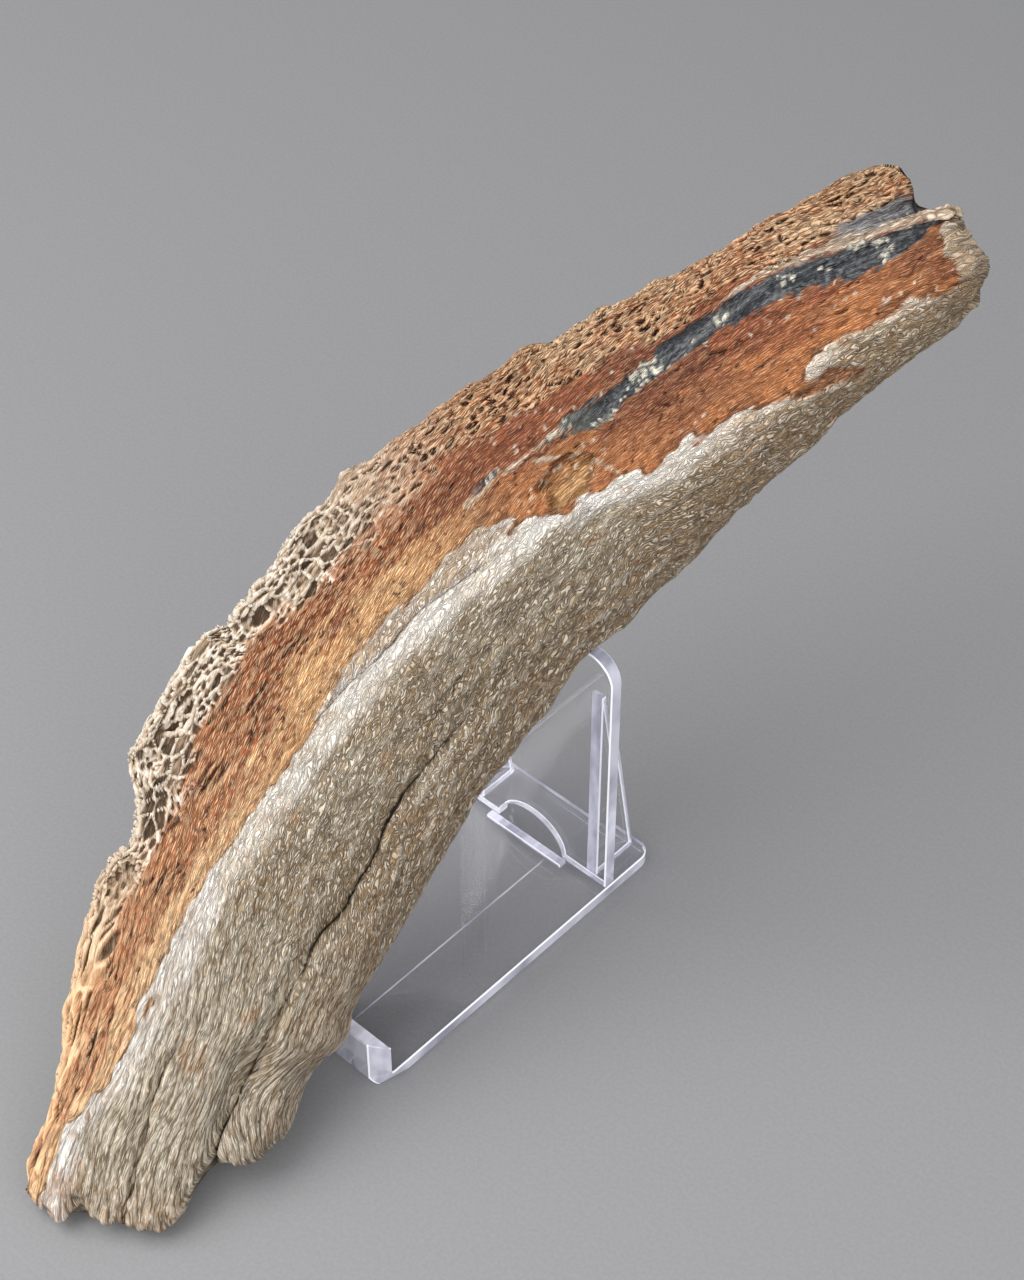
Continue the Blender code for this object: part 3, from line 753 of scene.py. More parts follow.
pore = comb * middle_part + 0.85 * slot * low_part + 0.75 * hole * high_part
print("openings cover %.2f of the skin" % (pore * spongy > 0.3).mean())

# %% Thin walls between the openings
thin = coarse * (1 - step(comb_gap, 0.02, 0.11)) + (1 - coarse) * (1 - step(small_gap, 0.04, 0.22))
wall = (thin * middle_part + (1 - step(slot_gap, 0.04, 0.24)) * low_part
        + 0.6 * (1 - step(hole_gap, 0.04, 0.26)) * high_part)
fibre = strands(96, 13, 0.5, 81)
# How far each point of the skin moves out along its normal, in millimetres: each layer of relief adds to it.
PORE_DEPTH, WALL_HEIGHT, FIBRE_HEIGHT = 2.7, 0.35, 0.3
move = spongy * np.where(top, 1.0, 0.6) * (
    -PORE_DEPTH * pore + WALL_HEIGHT * wall - FIBRE_HEIGHT * (1 - fibre))
print("spongy edge from %.2f to %.2f mm" % (move.min(), move.max()))

# %% [markdown]
# ## Fibres, knots and breaks
# Solid bone grew in strands. On the inner face they are short and straight, and on the outer layer they curl
# more and more toward the upper end. Combed lines alone would look like wood, so two kinds of drawn-out
# cells, straight ones and worm-like ones, are laid over broad soft strands.

# %% Fibres of the inner face, knots of the outer layer
inner = 1 - np.maximum(spongy, outer)
fine = np.where(top, 1.0, 0.35)
patchy = 0.35 + 0.65 * step(cloud(skin_at / (12, 6, 6), 71), -0.45, 0.45)
knotted_share = step(along + 10 * cloud(skin_at / 16, 59), 30, 120)
broad = strands(46, 22, 0.45, 83)


def drawn_out(points, size, seed):
    """Low domes over scattered seeds, each with a height of its own: 1 less the distance to the seed."""
    far, _, own = cells(points / size, seed)
    return (1 - np.minimum(far * 1.25, 1)) * (0.5 + 0.5 * own)


straight, worm = drawn_out(bent, (7.5, 1.25, 1.8), 85), drawn_out(curled, (4.4, 1.35, 1.9), 87)
pits = step(0.36 - cells(curled / (3.9, 1.7, 2.2), 62)[0], 0.0, 0.2) * (hole_own > 0.78)
move += inner * fine * (0.25 * broad + 0.9 * straight + 0.5 * worm - 0.9 * pits - 0.6)
knotted = straight * (1 - knotted_share) + worm * knotted_share
move += outer * fine * (0.2 * broad + (0.3 + 0.35 * patchy) * knotted - 0.5 * pits - 0.35)
OUTER_LAYER = 0.8      # how far the outer layer stands above the inner face
move += outer * np.where(top, OUTER_LAYER, 0)
uneven = 0.35 * cloud(skin_at / (10, 4, 4), 67) + 0.3 * cloud(skin_at / (3.5, 1.8, 2), 72)
move += (inner + outer) * uneven
print("with fibres from %.2f to %.2f mm" % (move.min(), move.max()))

# %% Broken ends, rims, hollows and open gaps
gaps = inner * (1 - step(band, 0.3, 0.62)) * (1 - step(along, 150, 200)) * slot
broken = step(along, 326, 336) + 1 - step(along, 10, 20)
move += broken * (1.0 * cloud(skin_at / (5, 3, 3), 75) + 0.5 * cloud(skin_at / (2.4, 1.6, 1.8), 76))
move += 0.5 * rim - 0.6 * rear - 1.5 * scoop - 1.1 * gaps
print("gaps cover %.3f of the skin" % (gaps > 0.3).mean())

# %% Crystals on the vein, light dots on the rust
crystals = step(0.5 - cells(skin_at / (1.9, 1.6, 1.6), 68)[0], 0, 0.2)
crystals = crystals * (cloud(skin_at / (6, 4, 4), 69) > 0.12)
move += vein * (-0.4 + 0.8 * crystals)
dot_far, _, dot_own = cells(skin_at / (1.7, 1.4, 1.6), 70)
dots = 0.8 * step(0.36 - dot_far, 0, 0.15) * (dot_own > 0.8) * (cloud(skin_at / (16, 5, 6), 77) > 0.05)
dots = dots * (0.35 * vein + inner) * top * step(along, 190, 225)
print("crystals and dots cover %.4f of the skin" % (np.maximum(crystals * vein, dots) > 0.5).mean())


# %% Move the skin
def smeared(values, rows, columns):
    """Each value blended with its neighbours along and round the rings, by a short bell of weights."""
    for axis, reach in ((0, rows), (1, columns)):
        weights = np.exp(-(np.arange(-reach, reach + 1) / (reach * 0.6)) ** 2)
        values = sum(w * np.roll(values, k - reach, axis) for k, w in enumerate(weights)) / weights.sum()
    return values


ends = rounded(u_grid * 340, 3.0) * rounded((1 - u_grid) * 340, 3.0)
bone_points = bone_base + outward * (move * ends)[..., None]
bone_low, bone_high = (np.array(corner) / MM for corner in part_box("bone"))
bone_points = np.clip(bone_points, bone_low + 0.02, bone_high - 0.02)
# How far each point stands above or below its surroundings, for painted highlights on the ridges and painted
# shade in the creases.
proud = move - smeared(move, 4, 5)
print("relief from %.2f to %.2f mm" % (move.min(), move.max()))
print("proud by %.2f to %.2f mm" % (proud.min(), proud.max()))

# %% [markdown]
# ## The mesh
# The rings could be skinned by a modifier, but its faces would not follow the rings. Here neighbouring rings
# are joined by four-sided faces, and each end ring is closed by a strip between its upper and lower half.


# %% Mesh from rings
def end_strip():
    """Corners of the triangles that join the upper half of a ring to its lower half, both counted from the
    left."""
    over = np.arange(OVER_TOP)
    match = np.round((1 - over / (OVER_TOP - 1)) * (OVER_UNDER + 1)).astype(int) - 1
    under = np.where(match < 0, OVER_TOP - 1, np.where(match >= OVER_UNDER, 0, OVER_TOP + match))
    a, b, c, d = over[:-1], over[1:], under[:-1], under[1:]
    first = np.stack((a, b, c), axis=-1)[(a != c) & (b != c)]
    second = np.stack((b, d, c), axis=-1)[(b != d) & (d != c) & (b != c)]
    return np.concatenate((first, second))


def quads_between(index):
    """Four corners for each face between one ring and the next, going once round."""
    near, far = index[:-1], index[1:]
    return np.stack((near, np.roll(near, -1, 1), np.roll(far, -1, 1), far), axis=-1).reshape(-1, 4)


def tube(name, points):
    """A closed skin: faces between neighbouring rings, and a strip over each end ring."""
    index = np.arange(points.shape[0] * points.shape[1]).reshape(points.shape[:2])
    strip = end_strip()
    faces = quads_between(index)[:, ::-1].tolist()
    faces += index[0][strip][:, ::-1].tolist() + index[-1][strip].tolist()
    mesh = bpy.data.meshes.new(name)
    mesh.from_pydata((points.reshape(-1, 3) * MM), [], faces)
    mesh.validate()
    return mesh


bone_mesh = tube("fossil_bone", bone_points)
bone_mesh.shade_smooth()
print("bone:", len(bone_mesh.polygons), "faces")

# %% Numbers for the finish
# Large and middling patches of tone, about 0.5.
blotch = 0.5 + 0.3 * cloud(skin_at / (26, 16, 16), 91) + 0.12 * cloud(skin_at / (11, 7, 7), 92)
patch = (0.5 + 0.27 * cloud(skin_at / (13, 6, 6), 93) + 0.14 * cloud(skin_at / (6, 3, 3), 94)
         + 0.08 * cloud(skin_at / (2.6, 1.5, 1.5), 95))
on_mesh = {
    "spongy": spongy, "outer": outer, "vein": vein, "band": band, "rim": rim, "rear": rear, "scoop": scoop,
    "pore": spongy * pore + 0.7 * inner * pits + 0.8 * gaps, "wall": spongy * wall,
    "crystals": np.maximum(crystals * vein, dots), "proud": proud, "way_round": way_round,
    "into_sponge": into_sponge, "blotch": blotch, "patch": patch,
    "to_crest": from_crest - 1.5 * lumps(along / 9, across / 4, 48),
    "to_stain": np.where(top, stain_gap, 9.0),
    "split_deep": step(smooth(SPLIT_DEPTH, along) * (along > 15), 0.8, 3.0) * top,
}
# Signed distances across to each crack, so that the finish can draw it as a thin dark line.
for name, line in (("to_split", SPLIT), ("to_small_split", SMALL_SPLIT), ("to_step", STEP_LINE)):
    on_mesh[name] = across - smooth(line, along) - line_wander(along)


def with_attribute(mesh, name, values, kind="FLOAT", field="value"):
    """Leaves one number or one vector at each vertex for the finish to read."""
    layer = mesh.attributes.new(name, kind, "POINT")
    layer.data.foreach_set(field, np.ascontiguousarray(values, np.float32).ravel())


with_attribute(bone_mesh, "bone_at", skin_at, "FLOAT_VECTOR", "vector")
for name, values in on_mesh.items():
    with_attribute(bone_mesh, name, values)
print("numbers on the mesh:", ", ".join(on_mesh))

# %% The bone's piece
bone = bpy.data.objects.new("fossil_bone", bone_mesh)
bpy.context.scene.collection.objects.link(bone)
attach(bone, "root")
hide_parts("bone")
print("bone:", [round(d / MM, 1) for d in bone.dimensions], "mm")

# %% [markdown]
# ## The bone's strands
# Under half a millimetre, the skin is a felt of fine strands. In the mesh they would need millions of faces,
# and they stand up too little to change the outline, so they are bump and colour. The pattern lies on the
# skin unrolled flat, by the distances along and round the bone.

# %% What the finish reads
bone_finish = Finish("fossil_bone")
mix = bone_finish.mix


def read(*names):
    """Numbers left on the mesh, as wires."""
    return [bone_finish.attribute(name) for name in names]


run, side = bone_finish.axes(bone_finish.attribute("bone_at", "Vector"), "XY")
(way_at,) = read("way_round")
on_spongy, on_outer, on_vein, over_rust = read("spongy", "outer", "vein", "band")
in_pore, on_wall, on_crystal, stands_proud = read("pore", "wall", "crystals", "proud")
on_rim, on_rear, in_scoop, deep_in_sponge = read("rim", "rear", "scoop", "into_sponge")
off_split, off_small_split, off_step = read("to_split", "to_small_split", "to_step")
off_crest, off_stain, split_open = read("to_crest", "to_stain", "split_deep")
blotchy, patched = read("blotch", "patch")
upper_half = run.between(175, 225)
lower_end = run.between(110, 45)
print("nodes that read the mesh:", len(bone_finish.tree.nodes) - 2)

# %% Fine strands
# Long narrow cells, bent by noise and more so on the outer layer. A crease runs between neighbours, and each
# strand has a tone of its own.
ALONG_SQUEEZE = 0.45       # how much the flat skin is squeezed along the bone
CELL_SQUEEZE = 0.34        # and the cells on it once more
STRAND_SCALE, BUNDLE_SCALE = 1.9, 0.55
STRAND_BUMP = 0.0012       # metres, the height that the bump gives a full strand
flat = bone_finish.node("ShaderNodeCombineXYZ", {}, {0: run * ALONG_SQUEEZE, 1: way_at})
curl = 0.12 + 0.88 * on_outer.most(on_spongy * 0.4) * run.between(40, 140)
bend = bone_finish.noise(flat, 0.6, 1.5, 0.5, "2D", "Color")
bend = bone_finish.vector("SUBTRACT", bend, (0.5, 0.5, 0.5))
bend = bone_finish.vector("MULTIPLY", bend, (0.4, 1.0, 1.0))
bend = bone_finish.node("ShaderNodeVectorMath", {"operation": "SCALE"}, {0: bend, "Scale": curl * 2.6})
strand_at = bone_finish.vector("ADD", bone_finish.vector("MULTIPLY", flat, (CELL_SQUEEZE, 1.0, 1.0)), bend)


def strand_cells(scale, feature, output):
    """A flat pattern of cells: how far it is to the nearest edge, or the nearest cell's own colour."""
    return bone_finish.node("ShaderNodeTexVoronoi", {"feature": feature, "voronoi_dimensions": "2D"},
                            {"Vector": strand_at, "Scale": scale}, output)


def flat_noise(stretch, scale, detail, rough):
    """Noise on the unrolled skin, drawn out along the bone where stretch is under 1."""
    at = bone_finish.vector("MULTIPLY", flat, (stretch / ALONG_SQUEEZE, 1.0, 1.0))
    return bone_finish.noise(at, scale, detail, rough, "2D")


own = bone_finish.axes(strand_cells(STRAND_SCALE, "F1", "Color"), "X")[0]
strand_edge = strand_cells(STRAND_SCALE, "DISTANCE_TO_EDGE", "Distance")
bundle_edge = strand_cells(BUNDLE_SCALE, "DISTANCE_TO_EDGE", "Distance")
streak = flat_noise(0.2, 0.36, 2.0, 0.65)
speck = flat_noise(0.5, 1.2, 2.0, 0.6)
print("strands about", round(1 / STRAND_SCALE, 2), "mm wide, bundles", round(1 / BUNDLE_SCALE, 2))

# %% Ridges and creases
# Strands show less on the spongy edge, whose walls are in the mesh. Bundles show most at the lower end.
sheer = 1 - on_spongy * (1 - upper_half) * 0.75 - upper_half * (1 - on_outer) * (1 - on_spongy) * 0.15
strand_dome, bundle_dome = strand_edge.between(0.0, 0.34), bundle_edge.between(0.02, 0.32)
# Ridge and crease are painted light: a painted highlight on raised strands and ridges, and painted shade in
# the creases.
strand_highlight = (strand_dome * 0.75 + own * 0.45).between(0.55, 1.0)
strand_crease_shade = (1 - strand_edge.between(0.03, 0.2)) * (0.4 + own * 0.6)
strand_crease_shade = (strand_crease_shade * (1 - lower_end * 0.55)).most((1 - bundle_edge.between(0.02, 0.14)) * 0.9)
proudness = stands_proud + (speck - 0.5) * 0.4
ridge = (proudness.between(0.02, 0.35) * 0.85).most(strand_highlight * 0.8 * sheer)
ridge = ridge.most(bundle_dome * (0.35 + own * 0.5) * lower_end)
crease = ((0 - proudness).between(0.02, 0.38) * 0.95).most(strand_crease_shade * 0.9 * sheer)
# The bump's height: strands, each as tall as its own tone, and bundles that take over at the lower end.
swell = strand_dome * (0.35 + own * 0.35) * (1 - lower_end * 0.4) + bundle_dome * (0.4 + lower_end * 0.7)
bump = bone_finish.node("ShaderNodeBump", {}, {
    "Strength": 1.0, "Distance": STRAND_BUMP, "Height": swell * sheer})
print("bump and ridge nodes:", len(bone_finish.tree.nodes))


# %% Cracks and ledges, with painted shade and shadow
def near_line(distance, full, none):
    """1 where a signed distance is within full of zero, falling to 0 at none."""
    return 1 - abs(distance).between(full, none)


split_line = split_open * near_line(off_split, 0.3, 0.95)
small_line = run.between(58, 50) * near_line(off_small_split, 0.1, 0.5) * 0.8
step_line = near_line(off_step, 0.1, 0.6) * run.between(128, 145) * run.between(206, 192)
# Painted shade inside the cracks and the groove beside the crest.
crack_shade = split_line.most(small_line).most(step_line * 0.6)
# Painted shadow: a thin dark line under the ledge at the outer layer's edge, broken by noise.
ledge_shadow = near_line(off_stain + 0.25, 0.15, 0.6) * streak.between(0.4, 0.6)
print("with cracks and ledges:", len(bone_finish.tree.nodes), "nodes")

# %% [markdown]
# ## The bone's colours
# Mineral water stained the inner face rust, left the outer layer pale grey and filled one crack with a dark
# vein. A painted picture could be wrapped round the bone, but it would blur close up. Here each zone has a
# base colour and a few thin coats over it: age and damp, a painted highlight on the ridges and crest, and
# painted shade in the creases, cracks and openings.


# %% Coats
def coated(colour, *coats):
    """Thin coats over a colour, first to last. Each is how much of it lies there, then its tone."""
    for amount, over in coats:
        colour = mix(amount, colour, over)
    return colour


# %% The outer layer
# Past the crest the flank turns from the light, so its darker tones are partly painted shade and partly a
# browner colour.
past_crest = (off_crest + (patched - 0.5) * 8).between(-2, 5)


def by_crest(before, past):
    """One colour before the crest, which faces up, and another on the flank: its browner tone and painted
    shade.
    """
    return mix(past_crest, tone(*before), tone(*past))


tint = own * 0.35 + streak * 0.9 - 0.12
# A painted highlight along the crest, which catches the light.
crest_highlight = near_line(off_crest + 1.5, 2.0, 6.0) * run.between(70, 110)
inner_band = off_crest.between(-4.5, -7.5) * run.between(100, 125) * run.between(222, 205)
grey = mix(tint.between(0.25, 0.75), by_crest((228, 214, 196), (160, 140, 111)),
           by_crest((253, 249, 242), (208, 192, 166)))
grey = coated(
    grey,
    (crest_highlight * 0.75, tone(252, 248, 240)),
    (inner_band * 0.75, mix(streak.between(0.4, 0.6), tone(208, 184, 148), tone(172, 132, 92))),
    (blotchy.between(0.45, 0.62) * 0.5, by_crest((222, 202, 172), (166, 138, 102))),
    (patched.between(0.5, 0.68) * 0.4, by_crest((186, 162, 132), (132, 106, 76))),
    (patched.between(0.36, 0.24) * 0.6, tone(176, 120, 70)),
    (side.between(20, 36) * 0.5, tone(170, 132, 90)),
    (run.between(225, 320) * 0.55, tone(202, 170, 128)),
    (run.between(215, 300) * side.between(14, 26) * 0.5, tone(168, 128, 84)),
    (run.between(20, 6) * 0.5, tone(208, 164, 124)),
    # Painted shade in the creases, less on the crest, and a painted highlight on the ridges.
    (crease * (0.78 - crest_highlight * 0.34), by_crest((120, 88, 58), (74, 54, 34))),
    (ridge * 0.5, by_crest((254, 253, 250), (248, 241, 226))),
    (run.between(322, 338) * 0.55, tone(158, 132, 102)),
    # Painted shade inside the cracks.
    (crack_shade * 0.9, tone(46, 34, 24)))
print("with the outer layer:", len(bone_finish.tree.nodes), "nodes")

# %% The rust-stained inner face
toward_outer = (over_rust + (streak - 0.5) * 0.9 + (blotchy - 0.5) * 0.5).between(0.45, 0.72)
low_rust = mix(toward_outer, mix(run.between(150, 110), tone(186, 106, 62), tone(212, 138, 92)),
               mix(run.between(140, 100), tone(250, 194, 136), tone(255, 208, 158)))
high_rust = mix((patched * 0.6 + over_rust * 0.4 + streak * 0.2).between(0.48, 0.78), tone(156, 86, 56),
                tone(206, 132, 80))
rust = coated(
    mix(upper_half, low_rust, high_rust),
    ((1 - tint).between(0.45, 0.85) * 0.6, mix(toward_outer, tone(134, 74, 46), tone(200, 134, 84))),
    (blotchy.between(0.5, 0.64) * upper_half * 0.5, tone(112, 66, 50)),
    # Painted shade in the openings, pits and gaps and in the creases, and a painted highlight on the ridges.
    (in_pore.between(0.1, 0.7) * 0.8, tone(74, 42, 26)),
    (crease * 0.84, mix(toward_outer, tone(56, 28, 18), tone(100, 58, 34))),
    (ridge * (0.45 - upper_half * 0.15), mix(upper_half, tone(254, 222, 178), tone(236, 184, 142))),
    # The scoop's pale floor, browner where painted shade lies in its creases.
    (in_scoop * side.between(-3, 4) * 0.75, mix(crease, tone(224, 186, 134), tone(150, 110, 70))))
print("with the inner face:", len(bone_finish.tree.nodes), "nodes")


# %% The spongy edge
def by_height(low, middle, high, start, stop):
    """One colour at the lower end, another along the middle from start to stop, and a third on the upper
    half."""
    return mix(upper_half, mix(run.between(start, stop), tone(*low), tone(*middle)), tone(*high))


sponge = coated(
    by_height((206, 158, 112), (180, 156, 130), (182, 110, 66), 40, 100),
    (streak.between(0.42, 0.66) * 0.5, mix(upper_half, tone(206, 180, 150), tone(214, 156, 106))),
    (deep_in_sponge.between(4.5, 0) * (1 - upper_half) * 0.7, tone(200, 128, 76)),
    ((blotchy * 0.6 + patched * 0.4).between(0.5, 0.62) * upper_half * 0.5, tone(232, 200, 160)),
    # Painted shade in the openings and creases. The walls are pale in their own right, and paler still by
    # the painted highlight on the ridges.
    (in_pore.between(0.1, 0.8), by_height((74, 50, 32), (124, 100, 80), (66, 38, 24), 70, 90)),
    (crease * 0.95, mix(upper_half, tone(80, 60, 42), tone(56, 30, 20))),
    (on_wall.between(0.4, 0.95).most(ridge * 0.65) * 0.9,
     by_height((238, 204, 162), (242, 234, 220), (254, 220, 178), 50, 110)))
print("with the spongy edge:", len(bone_finish.tree.nodes), "nodes")

# %% The vein, and everything together
dark = mix((speck * 0.5 + streak * 0.6).between(0.45, 0.68), tone(52, 55, 60), tone(112, 114, 116))
dark = coated(dark, (run.between(250, 232) * run.between(222, 230) * 0.6, tone(128, 130, 118)))
colour = coated(
    mix(on_outer, rust, grey),
    # Painted shadow under the outer layer's ledge.
    (ledge_shadow * 0.7, tone(92, 58, 36)),
    (on_spongy, sponge),
    (on_rear * 0.9, mix(streak.between(0.4, 0.6), tone(98, 100, 104), tone(146, 148, 150))),
    (on_vein, dark),
    # Pale rims, partly their own colour, brighter by the painted highlight on the ridges and browner by
    # painted shade in the creases.
    (on_rim * (0.5 + 0.5 * ridge), mix(crease, tone(232, 216, 194), tone(150, 120, 88))),
    (on_crystal, tone(232, 226, 208)))
bone_finish.surface(Base_Color=colour, Roughness=0.7, Specular_IOR_Level=0.3, Normal=bump)
bone_mesh.materials.append(bone_finish.material)
print("bone finish:", len(bone_finish.tree.nodes), "nodes")

# %% [markdown]
# ## The clear stand
# Cast clear sheet, polished along its edges. Light that enters the sheet is carried along inside it and
# leaves by the cut edges, so those look bright while the faces stay clear. A Bevel modifier could round the
# edges, but then nothing would tell a cut edge from a face. So each sheet is a row of rings: its outline,
# drawn again a little smaller on both faces, which leaves a narrow bevel all round.

# %% Sizes of the stand
SHEET = 4.0            # thickness of the clear sheet
BEVEL = 0.35
BASE_WIDTH, BASE_LENGTH, BASE_CORNER = 57.3, 109.0, 5.0
LIP_HEIGHT, LIP_BEND, LIP_FILLET = 14.8, 0.9, 0.5
UPRIGHT_WIDTH, UPRIGHT_FRONT, UPRIGHT_TOP, UPRIGHT_CORNER = 56.5, 88.7, 91.5, 8.0
ARCH_HALF_WIDTH, ARCH_HEIGHT = 12.0, 10.2
# How much of the bright edge finish, which is painted light, each kind of face has: the bevels are
# brightest.
ON_BEVEL, ON_CUT, ON_LIP_FACE = 1.5, 1.0, 0.55
SILL_WIDTH, SILL_DEPTH, SILL_HEIGHT = 28.0, 2.7, 1.2
GUSSETS = (("gusset_left", -21.6), ("gusset_right", 21.6))
GUSSET_TOP, GUSSET_FOOT, GUSSET_HEAD = 75.5, 13.2, 1.5
JOIN_GAP = 0.3         # cement gap between the pieces
print("base %.1f x %.1f mm, upright %.1f mm high" % (BASE_WIDTH, BASE_LENGTH, UPRIGHT_TOP))


# %% Outlines
def arc(x, y, across, up, start, stop, steps):
    """Points on an oval round (x, y), from one angle in degrees to another."""
    turn = np.radians(np.linspace(start, stop, steps + 1))
    return np.stack((x + across * np.cos(turn), y + up * np.sin(turn)), axis=-1)


def inset(outline, by):
    """The outline moved inwards: each corner moves along n1 + n2 over 1 + n1.n2, from its two sides' inward
    normals."""
    before = outline - np.roll(outline, 1, axis=0)
    after = np.roll(outline, -1, axis=0) - outline
    before, after = (d / np.linalg.norm(d, axis=1, keepdims=True) for d in (before, after))
    inward = (before + after)[:, ::-1] * (-1, 1)
    return outline + by * inward / (1 + (before * after).sum(axis=1, keepdims=True))


print("a quarter circle has", len(arc(0, 0, 1, 1, 0, 90, 20)), "points")


# %% Flat sheets
def ringed(rings, edge, cap_edge):
    """Faces between neighbouring rings and one on each end ring, with how far each face is a bright cut
    edge."""
    rows, columns = rings.shape[:2]
    index = np.arange(rows * columns).reshape(rows, columns)
    faces = quads_between(index).tolist() + [index[0][::-1].tolist(), index[-1].tolist()]
    edges = np.append(np.broadcast_to(edge, (rows - 1, columns)).ravel(), (cap_edge, cap_edge))
    return rings.reshape(-1, 3), faces, edges


def plate(outline, to_place, face=0.0, side=ON_CUT):
    """A flat sheet: small outline, full outline, full outline, small outline. to_place turns (x, y, depth)
    to mm."""
    small = inset(outline, BEVEL)
    layers = ((small, 0), (outline, BEVEL), (outline, SHEET - BEVEL), (small, SHEET))
    rings = np.stack([to_place(*shape.T, depth + 0 * shape[:, 0]) for shape, depth in layers])
    return ringed(rings, np.array((ON_BEVEL, side, ON_BEVEL))[:, None], face)


# %% The bent base
def bent_base():
    """The base: an eight-sided section across the sheet, carried along its bent path from the lip to the
    back edge. Near a rounded corner the section is half - corner + sqrt(corner^2 - gap^2) wide on each
    side."""
    bend = arc(LIP_BEND, LIP_BEND, LIP_BEND, LIP_BEND, 180, 270, 8)
    fillet = arc(SHEET + LIP_FILLET, SHEET + LIP_FILLET, LIP_FILLET, LIP_FILLET, 180, 270, 8)
    back = np.concatenate((np.linspace(10, BASE_LENGTH - BASE_CORNER, 12),
                           arc(BASE_LENGTH - BASE_CORNER, 0, BASE_CORNER - BEVEL, 1, 88, 0, 12)[:, 0]))
    down = np.array((LIP_HEIGHT - BEVEL, LIP_HEIGHT - 2 * BEVEL, 9.0, SHEET + LIP_FILLET + 0.1))
    lip_out, lip_in = (np.stack((0 * down + depth, down), -1) for depth in (0, SHEET))
    flat_out, flat_in = (np.stack((back, 0 * back + depth), -1) for depth in (0, SHEET))
    outer, inner = np.concatenate((lip_out, bend, flat_out)), np.concatenate((lip_in, fillet, flat_in))

    def half_width(y):
        """Half the base's width at this depth, less where a corner is rounded."""
        gap = np.clip(np.maximum(BASE_CORNER - y, y - BASE_LENGTH + BASE_CORNER), 0, BASE_CORNER)
        return BASE_WIDTH / 2 - BASE_CORNER + np.sqrt(BASE_CORNER ** 2 - gap ** 2)

    through = (inner - outer) / np.linalg.norm(inner - outer, axis=1, keepdims=True) * BEVEL
    wide_out, wide_in = half_width(outer[:, 0]), half_width(inner[:, 0])
    low, high = outer + through, inner - through
    corners = ((-wide_out + BEVEL, outer), (wide_out - BEVEL, outer), (wide_out, low), (wide_in, high),
               (wide_in - BEVEL, inner), (BEVEL - wide_in, inner), (-wide_in, high), (-wide_out, low))
    rings = np.stack([LIP_FOOT + np.stack((x, yz[:, 0], yz[:, 1]), -1) for x, yz in corners], axis=1)
    ends = rings[[0, -1]] + np.array(((0, 0, BEVEL), (0, BEVEL, 0)))[:, None]
    middle = ends.mean(axis=1, keepdims=True)
    about = np.array((58, SHEET, SHEET))       # size of an end ring, near enough to shrink it by one bevel
    ends = middle + (ends - middle) * (1 - 2 * BEVEL / about)
    rings = np.concatenate((ends[:1], rings, ends[1:]))
    edge = np.tile((0, ON_BEVEL, ON_CUT, ON_BEVEL) * 2, (len(rings) - 1, 1))
    # The lip's front face takes part of the edge finish, as a painted reflection of the lit edges.
    edge[:len(down) + len(bend), 0] = ON_LIP_FACE
    return ringed(rings, edge, ON_CUT)


print("bent base:", len(bent_base()[0]), "points")

# %% [markdown]
# ## Clear sheet
# Plain glass settings make the faces. Light carried inside a sheet and let out at its cut edges takes many
# bounces to follow, and comes out noisy. So the edges have a finish of their own, pale and a little bright
# in itself, and the mesh says how much of it each face has. A lamp's light goes straight through, or the
# stand's shadow would be black.

# %% Faces
clear = Finish("clear_sheet")
CLEAR_INDEX = 1.49         # how much cast clear sheet bends light
clear.surface(Base_Color=tone(252, 252, 254), Roughness=0.02, IOR=CLEAR_INDEX, Transmission_Weight=1.0)
lamp_ray = clear.node("ShaderNodeLightPath", output="Is Shadow Ray")
let_through = clear.node("ShaderNodeBsdfTransparent", {}, {"Color": tone(250, 250, 253)})
whole_sheet = Wire(clear, clear.shader.outputs[0])
seen = clear.node("ShaderNodeMixShader", {}, {0: lamp_ray, 1: whole_sheet, 2: let_through})
print("face nodes:", len(clear.tree.nodes))

# %% Cut edges
# Pale and faintly violet, whiter on the bevels, and uneven along their length. This is painted light: the
# glow stands for light let out at the cut edges, and the white bevels are a painted highlight.
edge = clear.attribute("edge")
spot = clear.node("ShaderNodeTexCoord", output="Object")
uneven = clear.noise(clear.vector("MULTIPLY", spot, (1.0, 0.35, 0.3)), 130.0, 3.0)
edge_tone = clear.mix(uneven.between(0.35, 0.65), tone(158, 158, 176), tone(228, 228, 242))
edge_tone = clear.mix(edge.between(1.0, 1.4), edge_tone, tone(246, 247, 252))
bright = clear.node("ShaderNodeBsdfPrincipled", {}, {
    "Base Color": edge_tone, "Roughness": 0.12, "IOR": CLEAR_INDEX,
    "Emission Color": edge_tone, "Emission Strength": 0.3})
print("with edges:", len(clear.tree.nodes), "nodes")

# %% Pale line
# One fine pale line, in the bright edge finish, runs along the top of the base.
LINE_X, LINE_START, LINE_STOP = 8.7, 8, 86      # mm from the lip's foot
x_at, y_at, z_at = clear.axes(spot)
line_x, line_low = (LIP_FOOT[0] + LINE_X) * MM, (LIP_FOOT[1] + LINE_START) * MM
line_high = (LIP_FOOT[1] + LINE_STOP) * MM
pale_line = (1 - abs(x_at - line_x).between(0.0001, 0.0004)) * y_at.between(line_low, line_low + 0.004)
pale_line = pale_line * y_at.between(line_high, line_high - 0.003) * z_at.between(0.0037, 0.0039)
amount = edge.between(0.0, 1.0) * (0.72 + 0.2 * edge.between(1.0, 1.5))
blend = clear.node("ShaderNodeMixShader", {}, {0: amount.most(pale_line * 0.55), 1: seen, 2: bright})
clear.put(clear.tree.nodes["Material Output"].inputs["Surface"], blend)
print("clear sheet:", len(clear.tree.nodes), "nodes")

# %% [markdown]
# ## The stand's pieces
# Base, upright and two gussets are cemented together. They could be one mesh, but light turns at the joint
# between two sheets, so each sheet is a piece of its own. The low bar before the arch lies on the base and
# belongs to it.


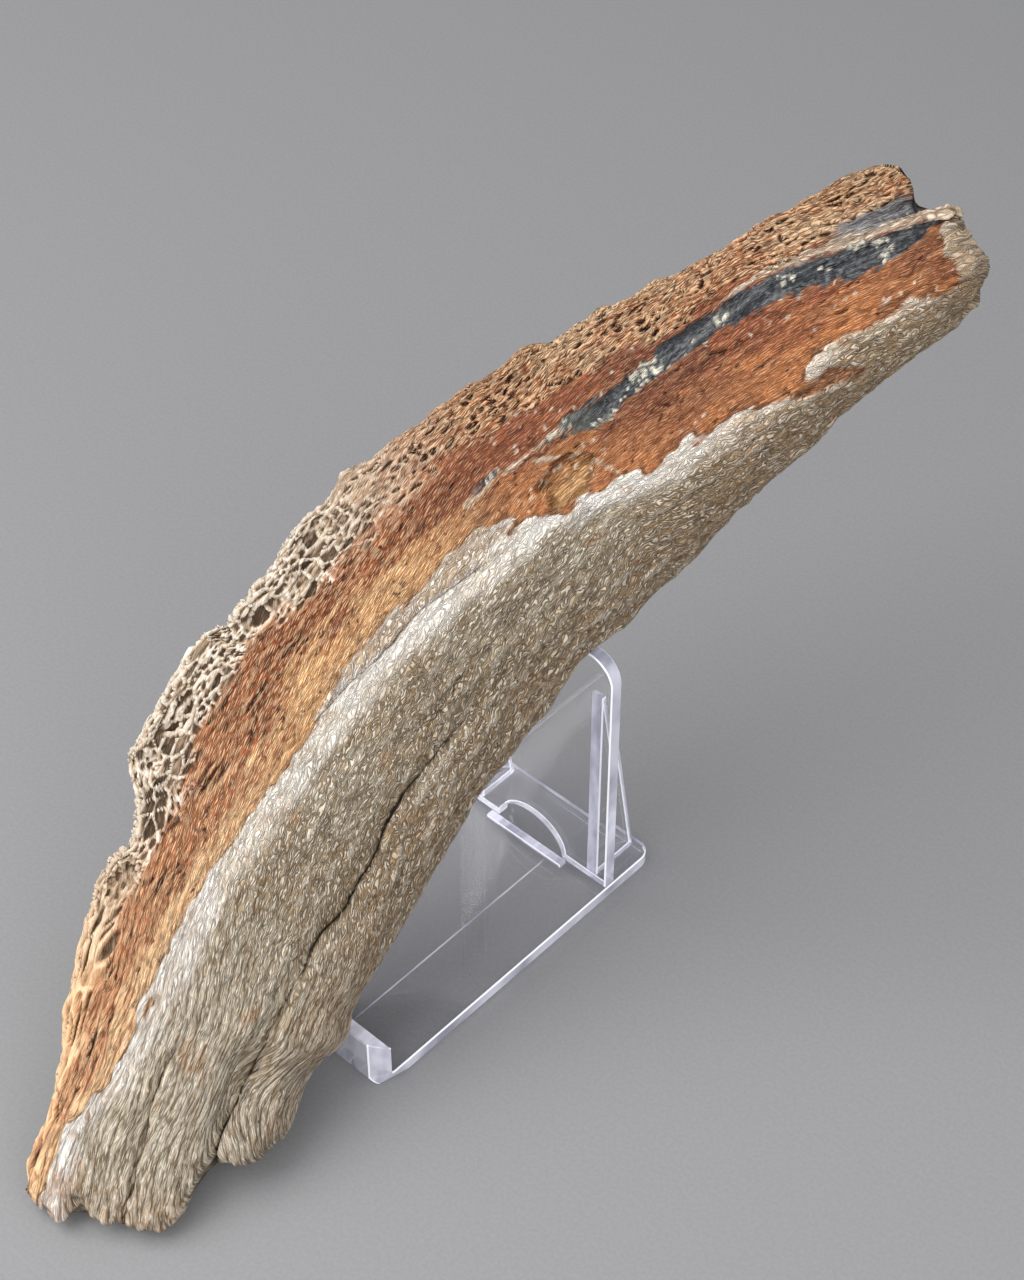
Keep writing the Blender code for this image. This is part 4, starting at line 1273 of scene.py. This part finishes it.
# %% One mesh for each sheet
def sheet_piece(name, *parts):
    """One mesh from (points, faces, edge) parts, carrying the edge value on its faces."""
    points, faces, edge, first = [], [], [], 0
    for part_points, part_faces, part_edge in parts:
        faces += [[first + i for i in face] for face in part_faces]
        first += len(part_points)
        points.append(part_points)
        edge.append(part_edge)
    mesh = bpy.data.meshes.new(name)
    mesh.from_pydata(np.concatenate(points) * MM, [], faces)
    layer = mesh.attributes.new("edge", "FLOAT", "FACE")
    layer.data.foreach_set("value", np.concatenate(edge).astype(np.float32))
    shape = bmesh.new()
    shape.from_mesh(mesh)
    bmesh.ops.recalc_face_normals(shape, faces=shape.faces)
    shape.to_mesh(mesh)
    shape.free()
    made = bpy.data.objects.new(name, mesh)
    bpy.context.scene.collection.objects.link(made)
    mesh.materials.append(clear.material)
    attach(made, "root")
    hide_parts(name)
    print(name, len(mesh.polygons), "faces")


# %% Base, upright and gussets
half, foot = UPRIGHT_WIDTH / 2, SHEET + JOIN_GAP
sill_low = np.array(((-1, 0), (1, 0), (1, 1), (-1, 1))) * (SILL_WIDTH / 2, SILL_HEIGHT) + (0, SHEET + 0.01)


def upright_at(x, z, depth):
    """Across, up, and back from the upright's front face."""
    return LIP_FOOT + np.stack((x, UPRIGHT_FRONT + depth, z), axis=-1)


def sill_at(x, z, depth):
    """Across, up, and back from the low bar's front, with its depth scaled from the sheet's."""
    return LIP_FOOT + np.stack((x, UPRIGHT_FRONT - JOIN_GAP - SILL_DEPTH * (1 - depth / SHEET), z), axis=-1)


sheet_piece("stand_base", bent_base(), plate(sill_low, sill_at, 0.9, 0.9))
outline = np.concatenate((
    ((-half, foot),), arc(0, foot, ARCH_HALF_WIDTH, ARCH_HEIGHT, 180, 0, 36), ((half, foot),),
    arc(half - UPRIGHT_CORNER, UPRIGHT_TOP - UPRIGHT_CORNER, UPRIGHT_CORNER, UPRIGHT_CORNER, 0, 90, 20),
    arc(UPRIGHT_CORNER - half, UPRIGHT_TOP - UPRIGHT_CORNER, UPRIGHT_CORNER, UPRIGHT_CORNER, 90, 180, 20)))
sheet_piece("stand_upright", plate(outline, upright_at))
back = UPRIGHT_FRONT + SHEET + JOIN_GAP
outline = np.array(((back, foot), (back + GUSSET_FOOT, foot), (back + GUSSET_HEAD, GUSSET_TOP),
                    (back, GUSSET_TOP)))
for name, at in GUSSETS:
    def gusset_at(y, z, depth):
        """Back, up, and across from the gusset's left face."""
        return LIP_FOOT + np.stack((at - SHEET / 2 + depth, y, z), axis=-1)

    sheet_piece(name, plate(outline, gusset_at))

# %% Update the scene
bpy.context.view_layer.update()
